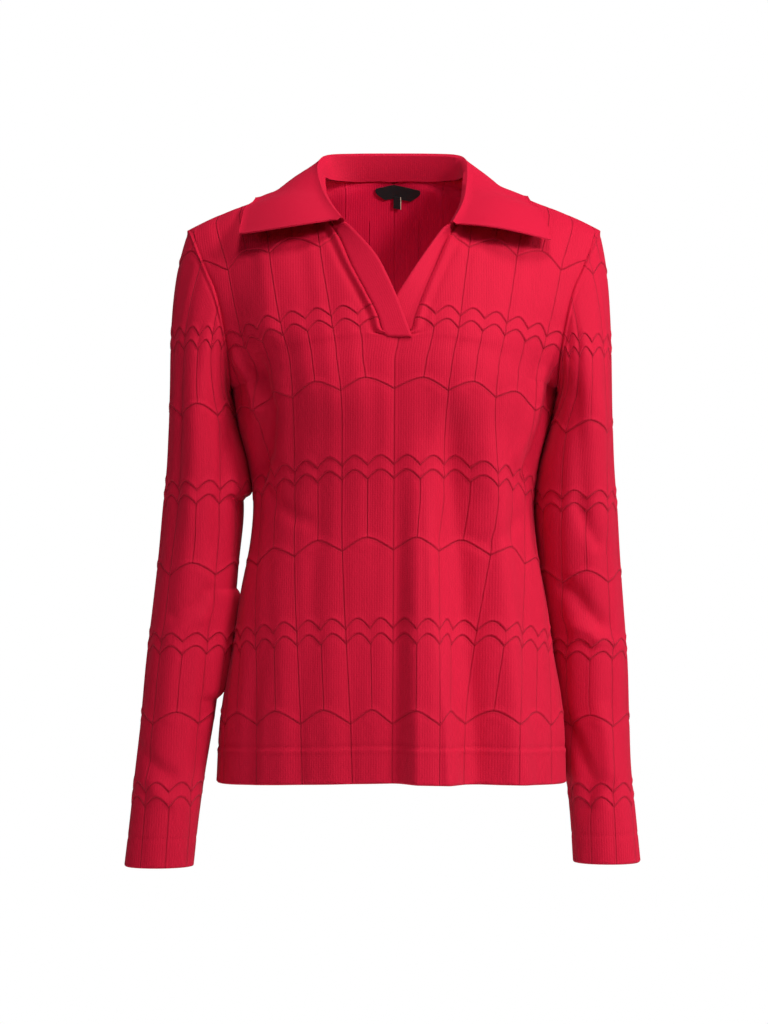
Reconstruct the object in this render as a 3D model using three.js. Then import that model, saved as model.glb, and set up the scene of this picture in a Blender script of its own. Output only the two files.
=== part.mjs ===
// A fitted polo tunic in fine relief knit, hollow and held in the shape it has when it is worn.
// Units are millimetres. +Z is up, the front faces -Y, and +X is on the wearer's left.
// The origin lies midway between the high shoulder points, where the wearer's shoulders carry the garment.
// Every cloth piece is a thin wall: its right side is a lofted face, and its wrong side is that face moved back.

import * as THREE from "three";

const CLOTH = 1.6; // thickness of the relief knit of the body and sleeves
const BAND_CLOTH = 1.8; // the collar and the placket bands are a closer, thicker plain knit
const SEAM_GAP = 0.3; // two pieces keep this apart where they are linked
const HEM_TURN = 32; // height of the layer turned up inside the hem
const CUFF_TURN = 25; // and inside each cuff
const HALF_COLUMNS = 11; // cloth cells from the centre line to the side seam
const RED = 0xb80f38;
const BLACK = 0x141414;

const vec = (values) => new THREE.Vector3(...values);
const ramp = (low, high, value) => THREE.MathUtils.smoothstep(value, low, high);

// ---------------------------------------------------------------------------------------------
// Sections of the body. Each row is one curve across the right half of a panel. It starts at inner
// (centre line, placket slit or neck edge), leaves it along leave, arrives along arrive, and ends
// at outer (side seam, armhole or shoulder end). Rows run from the hem up to the shoulder seam.

const FRONT_ROWS = [
  { inner: [0, -108, -585.5], leave: [97, 0, -2], arrive: [0, 61, 0], outer: [169.5, 0, -591.5] },
  { inner: [0, -108, -526], leave: [95, 0, -2], arrive: [0, 60, 0], outer: [166.5, 0, -532] },
  { inner: [0, -105, -465], leave: [90, 0, -2], arrive: [0, 58, 0], outer: [157, 0, -472] },
  { inner: [0, -99, -406], leave: [84, 0, -2], arrive: [0, 55, 0], outer: [148, 0, -413] },
  { inner: [0, -96, -352], leave: [79, 0, -2], arrive: [0, 53, 0], outer: [138.5, 0, -360] },
  { inner: [0, -99, -308], leave: [79, 0, -3], arrive: [0, 54, 0], outer: [136, 0, -319] },
  { inner: [0, -107, -268], leave: [84, 0, -4], arrive: [0, 58, 0], outer: [141, 1, -284] },
  { inner: [0, -114, -229], leave: [90, 0, -5], arrive: [0, 61, 0], outer: [151, 2, -249] },
  { inner: [0, -117, -195], leave: [94, 0, -6], arrive: [0, 60, 0], outer: [157, 2, -217] },
  { inner: [0, -117, -179], leave: [92, 0, -6], arrive: [22, 42, 0], outer: [157.5, -26, -208] },
  { inner: [0, -116, -165], leave: [86, 0, -6], arrive: [32, 36, -4], outer: [158.2, -40, -194] },
  { inner: [13, -115, -161.5], leave: [75, 0, -5], arrive: [36, 32, -6], outer: [159.2, -47, -182] },
  { inner: [18, -112, -145], leave: [72, 0, -5], arrive: [38, 30, -8], outer: [161, -51, -167] },
  { inner: [28, -105.5, -122], leave: [62, 2, -5], arrive: [40, 26, -11], outer: [166, -51, -140] },
  { inner: [39, -95.5, -99], leave: [54, 3, -6], arrive: [41, 22, -13], outer: [172, -45, -118] },
  { inner: [51, -80, -71], leave: [46, 2, -10], arrive: [42, 17, -15], outer: [180, -37, -100] },
  { inner: [61, -54, -51], leave: [43, -1, -13], arrive: [43, 12, -17], outer: [188, -26, -81] },
  { inner: [67, -20, -30], leave: [43, -4, -15], arrive: [43, 7, -18], outer: [195, -11, -63] },
  { inner: [70, 12, -5], leave: [43, -3, -19], arrive: [43, 1, -17], outer: [199, 4, -57] },
];
const BACK_ROWS = [
  { inner: [0, 112, -595.5], leave: [97, 0, 0], arrive: [0, -62, 0], outer: [169.5, 0, -591.5] },
  { inner: [0, 114, -534], leave: [95, 0, 0], arrive: [0, -63, 0], outer: [166.5, 0, -532] },
  { inner: [0, 111, -472], leave: [90, 0, 0], arrive: [0, -61, 0], outer: [157, 0, -472] },
  { inner: [0, 101, -411], leave: [84, 0, 0], arrive: [0, -56, 0], outer: [148, 0, -413] },
  { inner: [0, 90, -358], leave: [79, 0, 0], arrive: [0, -50, 0], outer: [138.5, 0, -360] },
  { inner: [0, 88, -316], leave: [79, 0, 0], arrive: [0, -48, 0], outer: [136, 0, -319] },
  { inner: [0, 92, -279], leave: [84, 0, 0], arrive: [0, -50, 0], outer: [141, 1, -284] },
  { inner: [0, 98, -242], leave: [90, 0, 0], arrive: [0, -52, 0], outer: [151, 2, -249] },
  { inner: [0, 103, -209], leave: [92, 0, 0], arrive: [0, -54, 0], outer: [157, 2, -217] },
  { inner: [0, 106, -186], leave: [90, 0, 0], arrive: [18, -44, 0], outer: [158, 28, -209] },
  { inner: [0, 107, -162], leave: [86, 0, -1], arrive: [30, -34, -3], outer: [160, 47, -193] },
  { inner: [0, 105, -137], leave: [80, 0, -2], arrive: [36, -28, -6], outer: [163.5, 57, -170] },
  { inner: [0, 101, -111], leave: [74, 0, -3], arrive: [40, -24, -9], outer: [169, 59, -145] },
  { inner: [0, 94, -84], leave: [68, 0, -4], arrive: [42, -20, -12], outer: [175, 54, -122] },
  { inner: [0, 84, -56], leave: [64, 0, -6], arrive: [44, -17, -15], outer: [182, 46, -101] },
  { inner: [0, 73, -29], leave: [60, 0, -8], arrive: [46, -14, -17], outer: [188.5, 36, -83] },
  { inner: [0, 63, -6], leave: [56, 1, -10], arrive: [47, -9, -17], outer: [194, 26, -69] },
  { inner: [39, 58, -5], leave: [50, 1, -16], arrive: [46, -6, -17], outer: [196.5, 18, -62] },
  { inner: [62, 41, -5], leave: [45, -1, -18], arrive: [44, -2, -17], outer: [198, 11, -58.5] },
  { inner: [70, 12, -5], leave: [43, -3, -19], arrive: [43, 1, -17], outer: [199, 4, -57] },
];
const ARMPIT_ROW = 8; // the row of both panels that ends at the bottom of the armhole
const NECK_ROW = 15; // the front row where the slit ends and the neck edge starts
const BACK_NECK_ROW = 16; // the back row at the middle of the neck edge

// One soft drape ridge falls to the hem beside the centre front.
const DRAPE = { x: 37, halfWidth: 34, height: 8, startZ: -330, fullZ: -520 };
// The placket slit leans a little to the wearer's left, and the body hangs a little to the right.
const SLIT_LEAN = { shift: 4, lowZ: -190, slitZ: -166, fadeZ: -150, topZ: -90 };
const HANG = { fromZ: -200, slope: 0.006 };

// Sections of each sleeve below the armhole, from the biceps to the cuff: the height, where the
// edge nearest to the body and the outer edge lie in x, and the middle and half depth in y.
const SLEEVE_RINGS = {
  left: [
    { z: -252, near: 153, far: 212, y: 6, depth: 62 },
    { z: -290, near: 142.5, far: 214, y: 12, depth: 60 },
    { z: -330, near: 136.5, far: 217.5, y: 19, depth: 56.5 },
    { z: -375, near: 138, far: 220.5, y: 26, depth: 53 },
    { z: -425, near: 145, far: 224.5, y: 32, depth: 49 },
    { z: -478, near: 153, far: 228.5, y: 35, depth: 45 },
    { z: -530, near: 160.5, far: 230, y: 34, depth: 41 },
    { z: -580, near: 167, far: 231.5, y: 30, depth: 37.5 },
    { z: -628, near: 172, far: 236, y: 25, depth: 34 },
    { z: -671, near: 174.5, far: 240, y: 20, depth: 31 },
  ],
  right: [
    { z: -252, near: -155, far: -218.5, y: 2, depth: 62 },
    { z: -290, near: -149, far: -220.5, y: 3, depth: 60 },
    { z: -330, near: -146, far: -224.5, y: 4, depth: 56.5 },
    { z: -375, near: -150, far: -228.5, y: 4, depth: 53 },
    { z: -425, near: -155, far: -234, y: 1, depth: 49 },
    { z: -478, near: -166.5, far: -240, y: -4, depth: 45 },
    { z: -530, near: -173.5, far: -244.5, y: -9, depth: 41 },
    { z: -580, near: -182, far: -250, y: -14, depth: 37.5 },
    { z: -628, near: -188.5, far: -255, y: -18, depth: 34 },
    { z: -671, near: -193, far: -260, y: -21, depth: 31 },
  ],
};
// How the sleeve head leaves the armhole at its top, front, bottom and back.
const SLEEVE_HEAD = {
  left: { top: [0.26, 0, -0.97], front: [0.42, -0.22, -0.88], bottom: [0.12, 0, -1], back: [0.4, 0.2, -0.9] },
  right: { top: [-0.36, 0, -0.93], front: [-0.36, -0.22, -0.91], bottom: [-0.12, 0, -1], back: [-0.36, 0.2, -0.91] },
};
const HEAD_ROWS = 4; // cloth cells from the armhole down to the first sleeve ring

// Sections of the collar, from its front end to the centre back. at is the share of the half neck
// edge where the stand is sewn, roll is the top of the stand on its neck side, and edge is on the
// outer edge of the turned-down fall.
const COLLAR_SECTIONS = {
  left: [
    { at: 0, roll: [53, -81, -60], edge: [148, -44, -73] },
    { at: 0.1, roll: [60, -62, -47], edge: [145, -29, -54] },
    { at: 0.23, roll: [64.5, -41, -35], edge: [141, -14, -39] },
    { at: 0.37, roll: [67, -15, -21], edge: [136, 3, -33] },
    { at: 0.51, roll: [68.5, 11, -4], edge: [129, 24, -31] },
    { at: 0.62, roll: [67.5, 32, 9], edge: [119, 47, -36] },
    { at: 0.71, roll: [60, 47, 15], edge: [96, 68, -44] },
    { at: 0.83, roll: [38, 57, 17], edge: [54, 85, -50] },
    { at: 1, roll: [0, 61, 17.5], edge: [0, 92, -52] },
  ],
  right: [
    { at: 0, roll: [-48, -81, -56], edge: [-147, -44, -66] },
    { at: 0.1, roll: [-56, -62, -45], edge: [-145, -28, -50] },
    { at: 0.23, roll: [-62.5, -41, -34], edge: [-142, -13, -38] },
    { at: 0.37, roll: [-68, -15, -20], edge: [-137, 4, -31] },
    { at: 0.51, roll: [-71.5, 11, -3], edge: [-133, 25, -30] },
    { at: 0.62, roll: [-72, 32, 9], edge: [-121, 48, -36] },
    { at: 0.71, roll: [-63, 47, 15], edge: [-97, 69, -44] },
    { at: 0.83, roll: [-39, 57, 17], edge: [-55, 85, -50] },
  ],
};
const ROLL_WIDTH = 5; // across the turned-over top of the collar
const FALL_LIFT = 9; // how far the fall arches above a straight line to its edge
const LIE_CLEAR = 2.8; // least height of the fall's right side above the cloth that it lies on

// Each placket band is a straight strip sewn along the slit. at counts front rows, lap is how far its
// sewn edge lies past the slit's edge, lift is its height above the body's right side there, and
// fold is on its free, folded edge. The wearer's right band lies on the body and laps over the left
// one, whose sewn edge lies behind the body.
const BANDS = {
  right: [
    { at: 9.9, lap: 11, lift: 2.4, fold: [16.8, -119.6, -167] },
    { at: 11, lap: 1, lift: 2.4, fold: [11.6, -118.2, -153] },
    { at: 12, lap: 1, lift: 2.4, fold: [5.5, -115.6, -136.5] },
    { at: 13, lap: 1, lift: 2.4, fold: [-5, -110.4, -112] },
    { at: 14, lap: 1, lift: 2.4, fold: [-18.3, -102, -87] },
    { at: 15, lap: 1, lift: 2.4, fold: [-39.4, -90, -64] },
  ],
  left: [
    { at: 11, lap: 2, lift: -2.3, fold: [-6, -114, -155] },
    { at: 12, lap: 1.5, lift: -2.3, fold: [-2.5, -111.6, -137] },
    { at: 13, lap: 1.5, lift: -2.3, fold: [13, -106.6, -111] },
    { at: 14, lap: 1.5, lift: -3.2, fold: [28.5, -97.2, -88] },
    { at: 15, lap: 1.5, lift: -3.5, fold: [45, -85.2, -66] },
  ],
};

// The neck label and the size tab hang inside the back. Their widths are given from the top down.
const LABEL = { x: 4, drop: 3, widths: [44, 45, 38, 26], height: 13, thickness: 0.6, columns: 8 };
const TAB = { x: 3.5, drop: 14, widths: [8, 8], height: 10, thickness: 0.6, columns: 2 };

// ---------------------------------------------------------------------------------------------
// Curves and faces

// The point of a uniform Catmull-Rom curve at position t, counted in points.
function along(points, t) {
  const last = points.length - 1;
  const k = THREE.MathUtils.clamp(Math.floor(t), 0, last - 1);
  const f = t - k;
  const [b, c] = [points[k], points[k + 1]];
  const a = k > 0 ? points[k - 1] : b.clone().multiplyScalar(2).sub(c);
  const d = k + 2 <= last ? points[k + 2] : c.clone().multiplyScalar(2).sub(b);
  const blend = (p, q, r, s) =>
    0.5 * (2 * q + (r - p) * f + (2 * p - 5 * q + 4 * r - s) * f * f + (3 * q - p - 3 * r + s) * f ** 3);
  return new THREE.Vector3(blend(a.x, b.x, c.x, d.x), blend(a.y, b.y, c.y, d.y), blend(a.z, b.z, c.z, d.z));
}

// The loft through a table of rows: the point at row position t and share s of the way outwards.
function loft(rows) {
  const inner = rows.map((r) => vec(r.inner));
  const leave = rows.map((r) => vec(r.inner).add(vec(r.leave)));
  const arrive = rows.map((r) => vec(r.outer).sub(vec(r.arrive)));
  const outer = rows.map((r) => vec(r.outer));
  const sideSeam = outer.slice(0, ARMPIT_ROW + 1);
  return (t, s) => {
    const end = along(t < ARMPIT_ROW ? sideSeam : outer, t);
    const curve = new THREE.CubicBezierCurve3(along(inner, t), along(leave, t), along(arrive, t), end);
    return curve.getPoint(s);
  };
}

// Moves a point of the worn body sideways, and out along the drape ridge.
function hangPoint(p) {
  const { shift, lowZ, slitZ, fadeZ, topZ } = SLIT_LEAN;
  const near = Math.max(0, 1 - Math.abs(p.x) / 120) ** 2;
  const lean = shift * ramp(lowZ, slitZ, p.z) * (1 - ramp(fadeZ, topZ, p.z)) * near;
  const hang = HANG.slope * Math.min(0, p.z - HANG.fromZ);
  const across = (p.x - DRAPE.x) / DRAPE.halfWidth;
  const ridge = Math.max(0, 1 - across * across) ** 2;
  const fall = 1 - ramp(DRAPE.fullZ, DRAPE.startZ, p.z);
  const out = p.y < 0 ? DRAPE.height * ridge * fall : 0;
  return new THREE.Vector3(p.x + lean + hang, p.y - out, p.z);
}

const panelLofts = { front: loft(FRONT_ROWS), back: loft(BACK_ROWS) };

// A point of the front or back on side +1 or -1.
function bodyPoint(panel, side, t, s) {
  const p = panelLofts[panel](t, s);
  return hangPoint(new THREE.Vector3(side * p.x, p.y, p.z));
}

// The outward normal of a loft point, from its neighbours. facing is a point inside the garment.
function normalAt(point, t, s, facing) {
  const step = 0.02;
  const across = point(t, s + step).sub(point(t, s - step));
  const up = point(t + step, s).sub(point(t, s));
  const n = across.cross(up).normalize();
  return n.dot(point(t, s).sub(facing)) < 0 ? n.negate() : n;
}

// The rows of a turned-up edge: the inner layer from its top down, then the fold. place(up) gives
// the face and its normal at that height above the fold.
function turnUp(place, height) {
  const radius = CLOTH + SEAM_GAP;
  const rows = [height, height / 2].map((up) => {
    const { p, n } = place(up);
    return p.addScaledVector(n, -2 * radius);
  });
  for (const degrees of [180, 135, 90, 45]) {
    const { p, n } = place(0);
    const angle = THREE.MathUtils.degToRad(degrees);
    p.addScaledVector(n, radius * (Math.cos(angle) - 1));
    p.z -= radius * Math.sin(angle);
    rows.push(p);
  }
  return rows;
}

const keyOf = (p) => [p.x, p.y, p.z].map((v) => Math.round(v * 200)).join(",");

// A face from a grid of points, grid[row][column]. With closed, the last column joins the first.
function gridFace(grid, closed = false) {
  const face = { points: grid.flat(), triangles: [] };
  const columns = grid[0].length;
  for (let r = 0; r + 1 < grid.length; r++) {
    for (let c = 0; c + (closed ? 0 : 1) < columns; c++) {
      const next = (c + 1) % columns;
      const [a, b] = [r * columns + c, r * columns + next];
      const [d, e] = [a + columns, b + columns];
      face.triangles.push([a, b, e], [a, e, d]);
    }
  }
  return face;
}

// Several faces as one, with the points that they share merged.
function joinFaces(faces) {
  const joined = { points: [], triangles: [] };
  const found = new Map();
  for (const face of faces) {
    const places = face.points.map((p) => {
      const key = keyOf(p);
      if (!found.has(key)) found.set(key, joined.points.push(p) - 1);
      return found.get(key);
    });
    for (const triangle of face.triangles) {
      const t = triangle.map((i) => places[i]);
      if (new Set(t).size === 3) joined.triangles.push(t);
    }
  }
  return joined;
}

const flipFace = (face) => ({ ...face, triangles: face.triangles.map(([a, b, c]) => [a, c, b]) });

// The outward normal of a face at each of its points, by the point's key.
function faceNormals(face) {
  const normals = new Map();
  for (const [a, b, c] of face.triangles) {
    const [p, q, r] = [face.points[a], face.points[b], face.points[c]];
    const n = q.clone().sub(p).cross(r.clone().sub(p));
    for (const point of [p, q, r]) {
      const key = keyOf(point);
      if (!normals.has(key)) normals.set(key, new THREE.Vector3());
      normals.get(key).add(n);
    }
  }
  for (const n of normals.values()) n.normalize();
  return normals;
}

// The mean of two sets of normals where both have a point, and the one that there is elsewhere.
function meanNormals(one, other) {
  const mean = new Map([...one, ...other]);
  for (const [key, n] of one) {
    if (other.has(key)) mean.set(key, n.clone().add(other.get(key)).normalize());
  }
  return mean;
}

// The open edges of a face, in the direction that its triangles run.
function openEdges(face) {
  const edges = new Map();
  for (const [a, b, c] of face.triangles) {
    for (const [i, j] of [[a, b], [b, c], [c, a]]) {
      if (!edges.delete(`${j},${i}`)) edges.set(`${i},${j}`, [i, j]);
    }
  }
  return [...edges.values()];
}

// For each point on an open edge, the directions into the cloth, square to the edge and to the mean
// normal of the pieces that meet there.
function edgeSides(face, edges, means) {
  const sides = new Map();
  for (const [i, j] of edges) {
    const run = face.points[j].clone().sub(face.points[i]);
    for (const k of [i, j]) {
      if (!sides.has(k)) sides.set(k, []);
      sides.get(k).push(means[k].clone().cross(run).normalize());
    }
  }
  return sides;
}

// A closed wall of cloth from its right side. seamNormals holds the mean normals of the pieces that
// meet at a seam: each piece draws back from the plane along them by half the seam gap. Where the
// pieces bend away from the right side their wrong sides meet on that plane too, and where they
// bend towards it each keeps its own normal.
function clothWall(face, thickness, seamNormals = new Map()) {
  const normals = faceNormals(face);
  const own = face.points.map((p) => normals.get(keyOf(p)));
  const means = face.points.map((p, i) => seamNormals.get(keyOf(p)) ?? own[i]);
  const edges = openEdges(face);
  const sides = edgeSides(face, edges, means);
  const outside = [];
  const inside = [];
  face.points.forEach((p, i) => {
    const start = p.clone();
    const back = own[i].clone();
    if (sides.has(i)) {
      const [one, other] = sides.get(i);
      const square = Math.max(0.4, 1 + one.dot(other));
      start.addScaledVector(one, SEAM_GAP / 2 / square).addScaledVector(other, SEAM_GAP / 2 / square);
      const valley = Math.max(0, -own[i].dot(one), -own[i].dot(other));
      back.lerp(means[i], 1 - THREE.MathUtils.clamp(valley * 4, 0, 1)).normalize();
      for (const side of [one, other]) back.addScaledVector(side, -Math.max(0, back.dot(side)));
    }
    outside.push(start);
    inside.push(start.clone().addScaledVector(back, -thickness));
  });
  const shift = face.points.length;
  const index = [];
  for (const [a, b, c] of face.triangles) index.push(a, b, c, c + shift, b + shift, a + shift);
  for (const [i, j] of edges) index.push(j, i, i + shift, j, i + shift, j + shift);
  const geometry = new THREE.BufferGeometry();
  geometry.setFromPoints([...outside, ...inside]);
  geometry.setIndex(index);
  geometry.computeVertexNormals();
  return geometry;
}

// ---------------------------------------------------------------------------------------------
// The body panels

const shares = Array.from({ length: HALF_COLUMNS + 1 }, (_, i) => i / HALF_COLUMNS);

// The right side of one half of a panel, from its turned-up hem to the shoulder seam.
function halfPanel(panel, side) {
  const point = (t, s) => bodyPoint(panel, side, t, s);
  const rows = panel === "front" ? FRONT_ROWS : BACK_ROWS;
  const firstRise = Math.abs(rows[1].outer[2] - rows[0].outer[2]);
  const place = (s) => (up) => {
    const t = up / firstRise;
    const p = point(t, s);
    return { p, n: normalAt(point, t, s, new THREE.Vector3(0, 0, p.z)) };
  };
  const turned = shares.map((s) => turnUp(place(s), HEM_TURN));
  const grid = turned[0].map((_, r) => turned.map((column) => column[r]));
  for (let t = 0; t < rows.length; t++) grid.push(shares.map((s) => point(t, s)));
  const face = gridFace(grid);
  return (panel === "front") === (side > 0) ? face : flipFace(face);
}

const frontFace = joinFaces([halfPanel("front", -1), halfPanel("front", 1)]);
const backFace = joinFaces([halfPanel("back", -1), halfPanel("back", 1)]);

// ---------------------------------------------------------------------------------------------
// The sleeves

// The armhole from its bottom, up the front to the shoulder end and down the back.
function armhole(side) {
  const front = [];
  const back = [];
  for (let t = ARMPIT_ROW; t < FRONT_ROWS.length - 1; t++) front.push(bodyPoint("front", side, t, 1));
  for (let t = BACK_ROWS.length - 1; t > ARMPIT_ROW; t--) back.push(bodyPoint("back", side, t, 1));
  return { points: [...front, ...back], top: front.length };
}

// The angle of each armhole point round the sleeve: 0 at the armpit, half a turn at the shoulder.
function armholeAngles({ points, top }) {
  const lengths = points.map((p, i) => p.distanceTo(points[(i + 1) % points.length]));
  const sum = (from, to) => lengths.slice(from, to).reduce((a, b) => a + b, 0);
  const [up, down] = [sum(0, top), sum(top)];
  return points.map((_, i) => (i <= top ? (Math.PI * sum(0, i)) / up : Math.PI * (1 + sum(top, i) / down)));
}

function sleeveFace(side) {
  const name = side > 0 ? "left" : "right";
  const rings = SLEEVE_RINGS[name];
  const head = Object.fromEntries(Object.entries(SLEEVE_HEAD[name]).map(([k, v]) => [k, vec(v)]));
  const hole = armhole(side);
  const angles = armholeAngles(hole);
  const middles = rings.map((r) => new THREE.Vector3((r.near + r.far) / 2, r.y, r.z));
  const halves = rings.map((r) => new THREE.Vector3((r.far - r.near) / 2, r.depth, 0));
  const ringPoint = (t, angle) => {
    const half = along(halves, t);
    return along(middles, t).add(
      new THREE.Vector3(-half.x * Math.cos(angle), -half.y * Math.sin(angle), 0));
  };
  const leaving = (angle) => {
    const [c, s] = [Math.cos(angle), Math.sin(angle)];
    const n = new THREE.Vector3().addScaledVector(c > 0 ? head.bottom : head.top, c * c);
    return n.addScaledVector(s > 0 ? head.front : head.back, s * s).normalize();
  };
  const grid = [];
  for (let r = 0; r < HEAD_ROWS; r++) {
    const f = r / HEAD_ROWS;
    grid.push(hole.points.map((start, i) => {
      const end = ringPoint(0, angles[i]);
      const long = start.distanceTo(end);
      const first = leaving(angles[i]).multiplyScalar(long / 3).add(start);
      const last = ringPoint(0.25, angles[i]).sub(end).normalize().multiplyScalar(-long / 3).add(end);
      return new THREE.CubicBezierCurve3(start, first, last, end).getPoint(f);
    }));
  }
  for (let t = 0; t < rings.length; t++) grid.push(angles.map((angle) => ringPoint(t, angle)));
  const end = rings.length - 1;
  const lastRise = rings[end - 1].z - rings[end].z;
  const turned = angles.map((angle) => turnUp((up) => {
    const t = end - up / lastRise;
    const p = ringPoint(t, angle);
    const middle = along(middles, t);
    return { p, n: p.clone().sub(middle).normalize() };
  }, CUFF_TURN).reverse());
  turned[0].forEach((_, r) => grid.push(turned.map((column) => column[r])));
  const face = gridFace(grid, true);
  return side > 0 ? flipFace(face) : face;
}

const sleeveFaces = { left: sleeveFace(1), right: sleeveFace(-1) };

// ---------------------------------------------------------------------------------------------
// The collar

// Points and outward normals all over the body, for what lies on it.
const bodyCloth = [];
for (const face of [frontFace, backFace]) {
  const normals = faceNormals(face);
  for (const [a, b, c] of face.triangles) {
    const corners = [face.points[a], face.points[b], face.points[c]];
    const point = corners.reduce((sum, p) => sum.add(p), new THREE.Vector3()).divideScalar(3);
    bodyCloth.push({ point, normal: corners[1].clone().sub(corners[0]).cross(corners[2].clone().sub(corners[0])) });
    bodyCloth.push({ point: corners[0], normal: normals.get(keyOf(corners[0])) });
  }
}
for (const sample of bodyCloth) sample.normal = sample.normal.clone().normalize();

// Moves a point out until it is clear of the body cloth under it.
function lieOnBody(p, clear) {
  for (let pass = 0; pass < 3; pass++) {
    let nearest = bodyCloth[0];
    let least = Infinity;
    for (const sample of bodyCloth) {
      const far = sample.point.distanceToSquared(p);
      if (far < least) [least, nearest] = [far, sample];
    }
    const height = p.clone().sub(nearest.point).dot(nearest.normal);
    if (height < clear) p.addScaledVector(nearest.normal, clear - height);
  }
  return p;
}

// The neck edge of one half of the body, from the top of the slit to the centre back.
function neckEdge(side) {
  const points = [];
  for (let t = NECK_ROW; t < FRONT_ROWS.length; t++) points.push(bodyPoint("front", side, t, 0));
  for (let t = BACK_ROWS.length - 2; t >= BACK_NECK_ROW; t--) points.push(bodyPoint("back", side, t, 0));
  return new THREE.CatmullRomCurve3(points);
}

// The sections of one half of the collar, with the sewn edge just inside the neck edge.
function collarHalf(name) {
  const edge = neckEdge(name === "left" ? 1 : -1);
  return COLLAR_SECTIONS[name].map((section) => {
    const seam = edge.getPointAt(section.at);
    const inward = new THREE.Vector3(-seam.x, -seam.y, 0).normalize();
    return {
      seam: seam.addScaledVector(inward, BAND_CLOTH + 2 * SEAM_GAP),
      roll: vec(section.roll),
      edge: vec(section.edge),
    };
  });
}

function collarFace() {
  const sections = [...collarHalf("right"), ...collarHalf("left").reverse()];
  const seams = sections.map((c) => c.seam);
  const rolls = sections.map((c) => c.roll);
  const edges = sections.map((c) => c.edge);
  const columns = 2 * (sections.length - 1);
  const grid = [];
  for (let c = 0; c <= columns; c++) {
    const t = c / 2;
    const [seam, roll, edge] = [along(seams, t), along(rolls, t), along(edges, t)];
    const step = 0.05;
    const run = along(rolls, Math.min(t + step, seams.length - 1)).sub(along(rolls, Math.max(t - step, 0)));
    const out = new THREE.Vector3(-run.y, run.x, 0).normalize();
    if (out.dot(edge.clone().sub(roll)) < 0) out.negate();
    const line = [seam.clone(), seam.clone().lerp(roll, 0.5), roll.clone()];
    const radius = ROLL_WIDTH / 2;
    for (const degrees of [120, 60, 0]) {
      const angle = THREE.MathUtils.degToRad(degrees);
      const p = roll.clone().addScaledVector(out, radius * (1 + Math.cos(angle)));
      p.z += radius * Math.sin(angle);
      line.push(p);
    }
    const start = line[line.length - 1];
    for (const f of [0.25, 0.5, 0.75, 1]) {
      const p = start.clone().lerp(edge, f);
      p.z += FALL_LIFT * Math.sin(Math.PI * f) * 0.5;
      line.push(lieOnBody(p, LIE_CLEAR));
    }
    grid.push(line);
  }
  return gridFace(grid);
}

// ---------------------------------------------------------------------------------------------
// The placket bands, the neck binding and the labels

function bandFace(name) {
  const side = name === "right" ? -1 : 1;
  const point = (t, s) => bodyPoint("front", side, t, s);
  const rows = BANDS[name];
  const sewn = rows.map(({ at, lap, lift }) => {
    const s = (0.01 * lap) / point(at, 0.01).distanceTo(point(at, 0));
    const p = point(at, s);
    return p.addScaledVector(normalAt(point, at, s, new THREE.Vector3(0, 0, p.z)), lift);
  });
  const fold = rows.map((r) => vec(r.fold));
  const face = gridFace(rows.map((_, i) => [0, 0.5, 1].map((s) => sewn[i].clone().lerp(fold[i], s))));
  return name === "right" ? face : flipFace(face);
}

// The place on the back panel that is this far across and this far down from the neck edge.
function onBack(x, drop) {
  const side = Math.sign(x) || 1;
  const rise = BACK_ROWS[BACK_NECK_ROW].inner[2] - BACK_ROWS[BACK_NECK_ROW - 1].inner[2];
  const t = BACK_NECK_ROW - drop / rise;
  let s = 0;
  for (let pass = 0; pass < 8; pass++) s += (Math.abs(x) - panelLofts.back(t, s).x) / 170;
  const point = (u, v) => bodyPoint("back", side, u, v);
  return { p: point(t, s), n: normalAt(point, t, s, new THREE.Vector3(0, 0, -60)) };
}

// A label that hangs inside the back, a seam gap from its wrong side or from what it overlaps.
function labelFace({ x, drop, widths, height, thickness, columns }, under) {
  const grid = widths.map((width, row) => {
    const down = drop + (height * row) / (widths.length - 1);
    return Array.from({ length: columns + 1 }, (_, i) => {
      const { p, n } = onBack(x + width * (i / columns - 0.5), down);
      return p.addScaledVector(n, -(CLOTH + SEAM_GAP + under + thickness));
    });
  });
  return gridFace(grid);
}

// ---------------------------------------------------------------------------------------------
// The garment

const cloth = (color) => new THREE.MeshStandardMaterial({ color, roughness: 0.85, metalness: 0 });
const garment = new THREE.Group();

function addPiece(name, geometry, color) {
  const mesh = new THREE.Mesh(geometry, cloth(color));
  mesh.name = name;
  garment.add(mesh);
  return mesh;
}

const bodyNormals = meanNormals(faceNormals(frontFace), faceNormals(backFace));
const sleeveNormals = new Map([...faceNormals(sleeveFaces.left), ...faceNormals(sleeveFaces.right)]);
const seamNormals = meanNormals(bodyNormals, sleeveNormals);

addPiece("front", clothWall(frontFace, CLOTH, seamNormals), RED);
addPiece("back", clothWall(backFace, CLOTH, seamNormals), RED);
addPiece("sleeve_left", clothWall(sleeveFaces.left, CLOTH, seamNormals), RED);
addPiece("sleeve_right", clothWall(sleeveFaces.right, CLOTH, seamNormals), RED);
addPiece("collar", clothWall(collarFace(), BAND_CLOTH), RED);
addPiece("placket_right", clothWall(bandFace("right"), BAND_CLOTH), RED);
addPiece("placket_left", clothWall(bandFace("left"), BAND_CLOTH), RED);
addPiece("neck_label", clothWall(labelFace(LABEL, 0), LABEL.thickness), BLACK);
addPiece("size_tab", clothWall(labelFace(TAB, LABEL.thickness + SEAM_GAP), TAB.thickness), BLACK);

export default garment;
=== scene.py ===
"""A fitted polo tunic in red relief knit, hollow and held in the shape that it has when it is worn.

Sizes and tables are in millimetres, as a pattern maker writes them, and meshes are in metres. +Z is up,
the front faces -Y and +X is on the wearer's left. Left and right in a name are the wearer's.
"""
import logging
import math
from dataclasses import dataclass
from enum import Enum

import bpy
import numpy as np
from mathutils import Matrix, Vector
from mathutils.bvhtree import BVHTree


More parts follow.
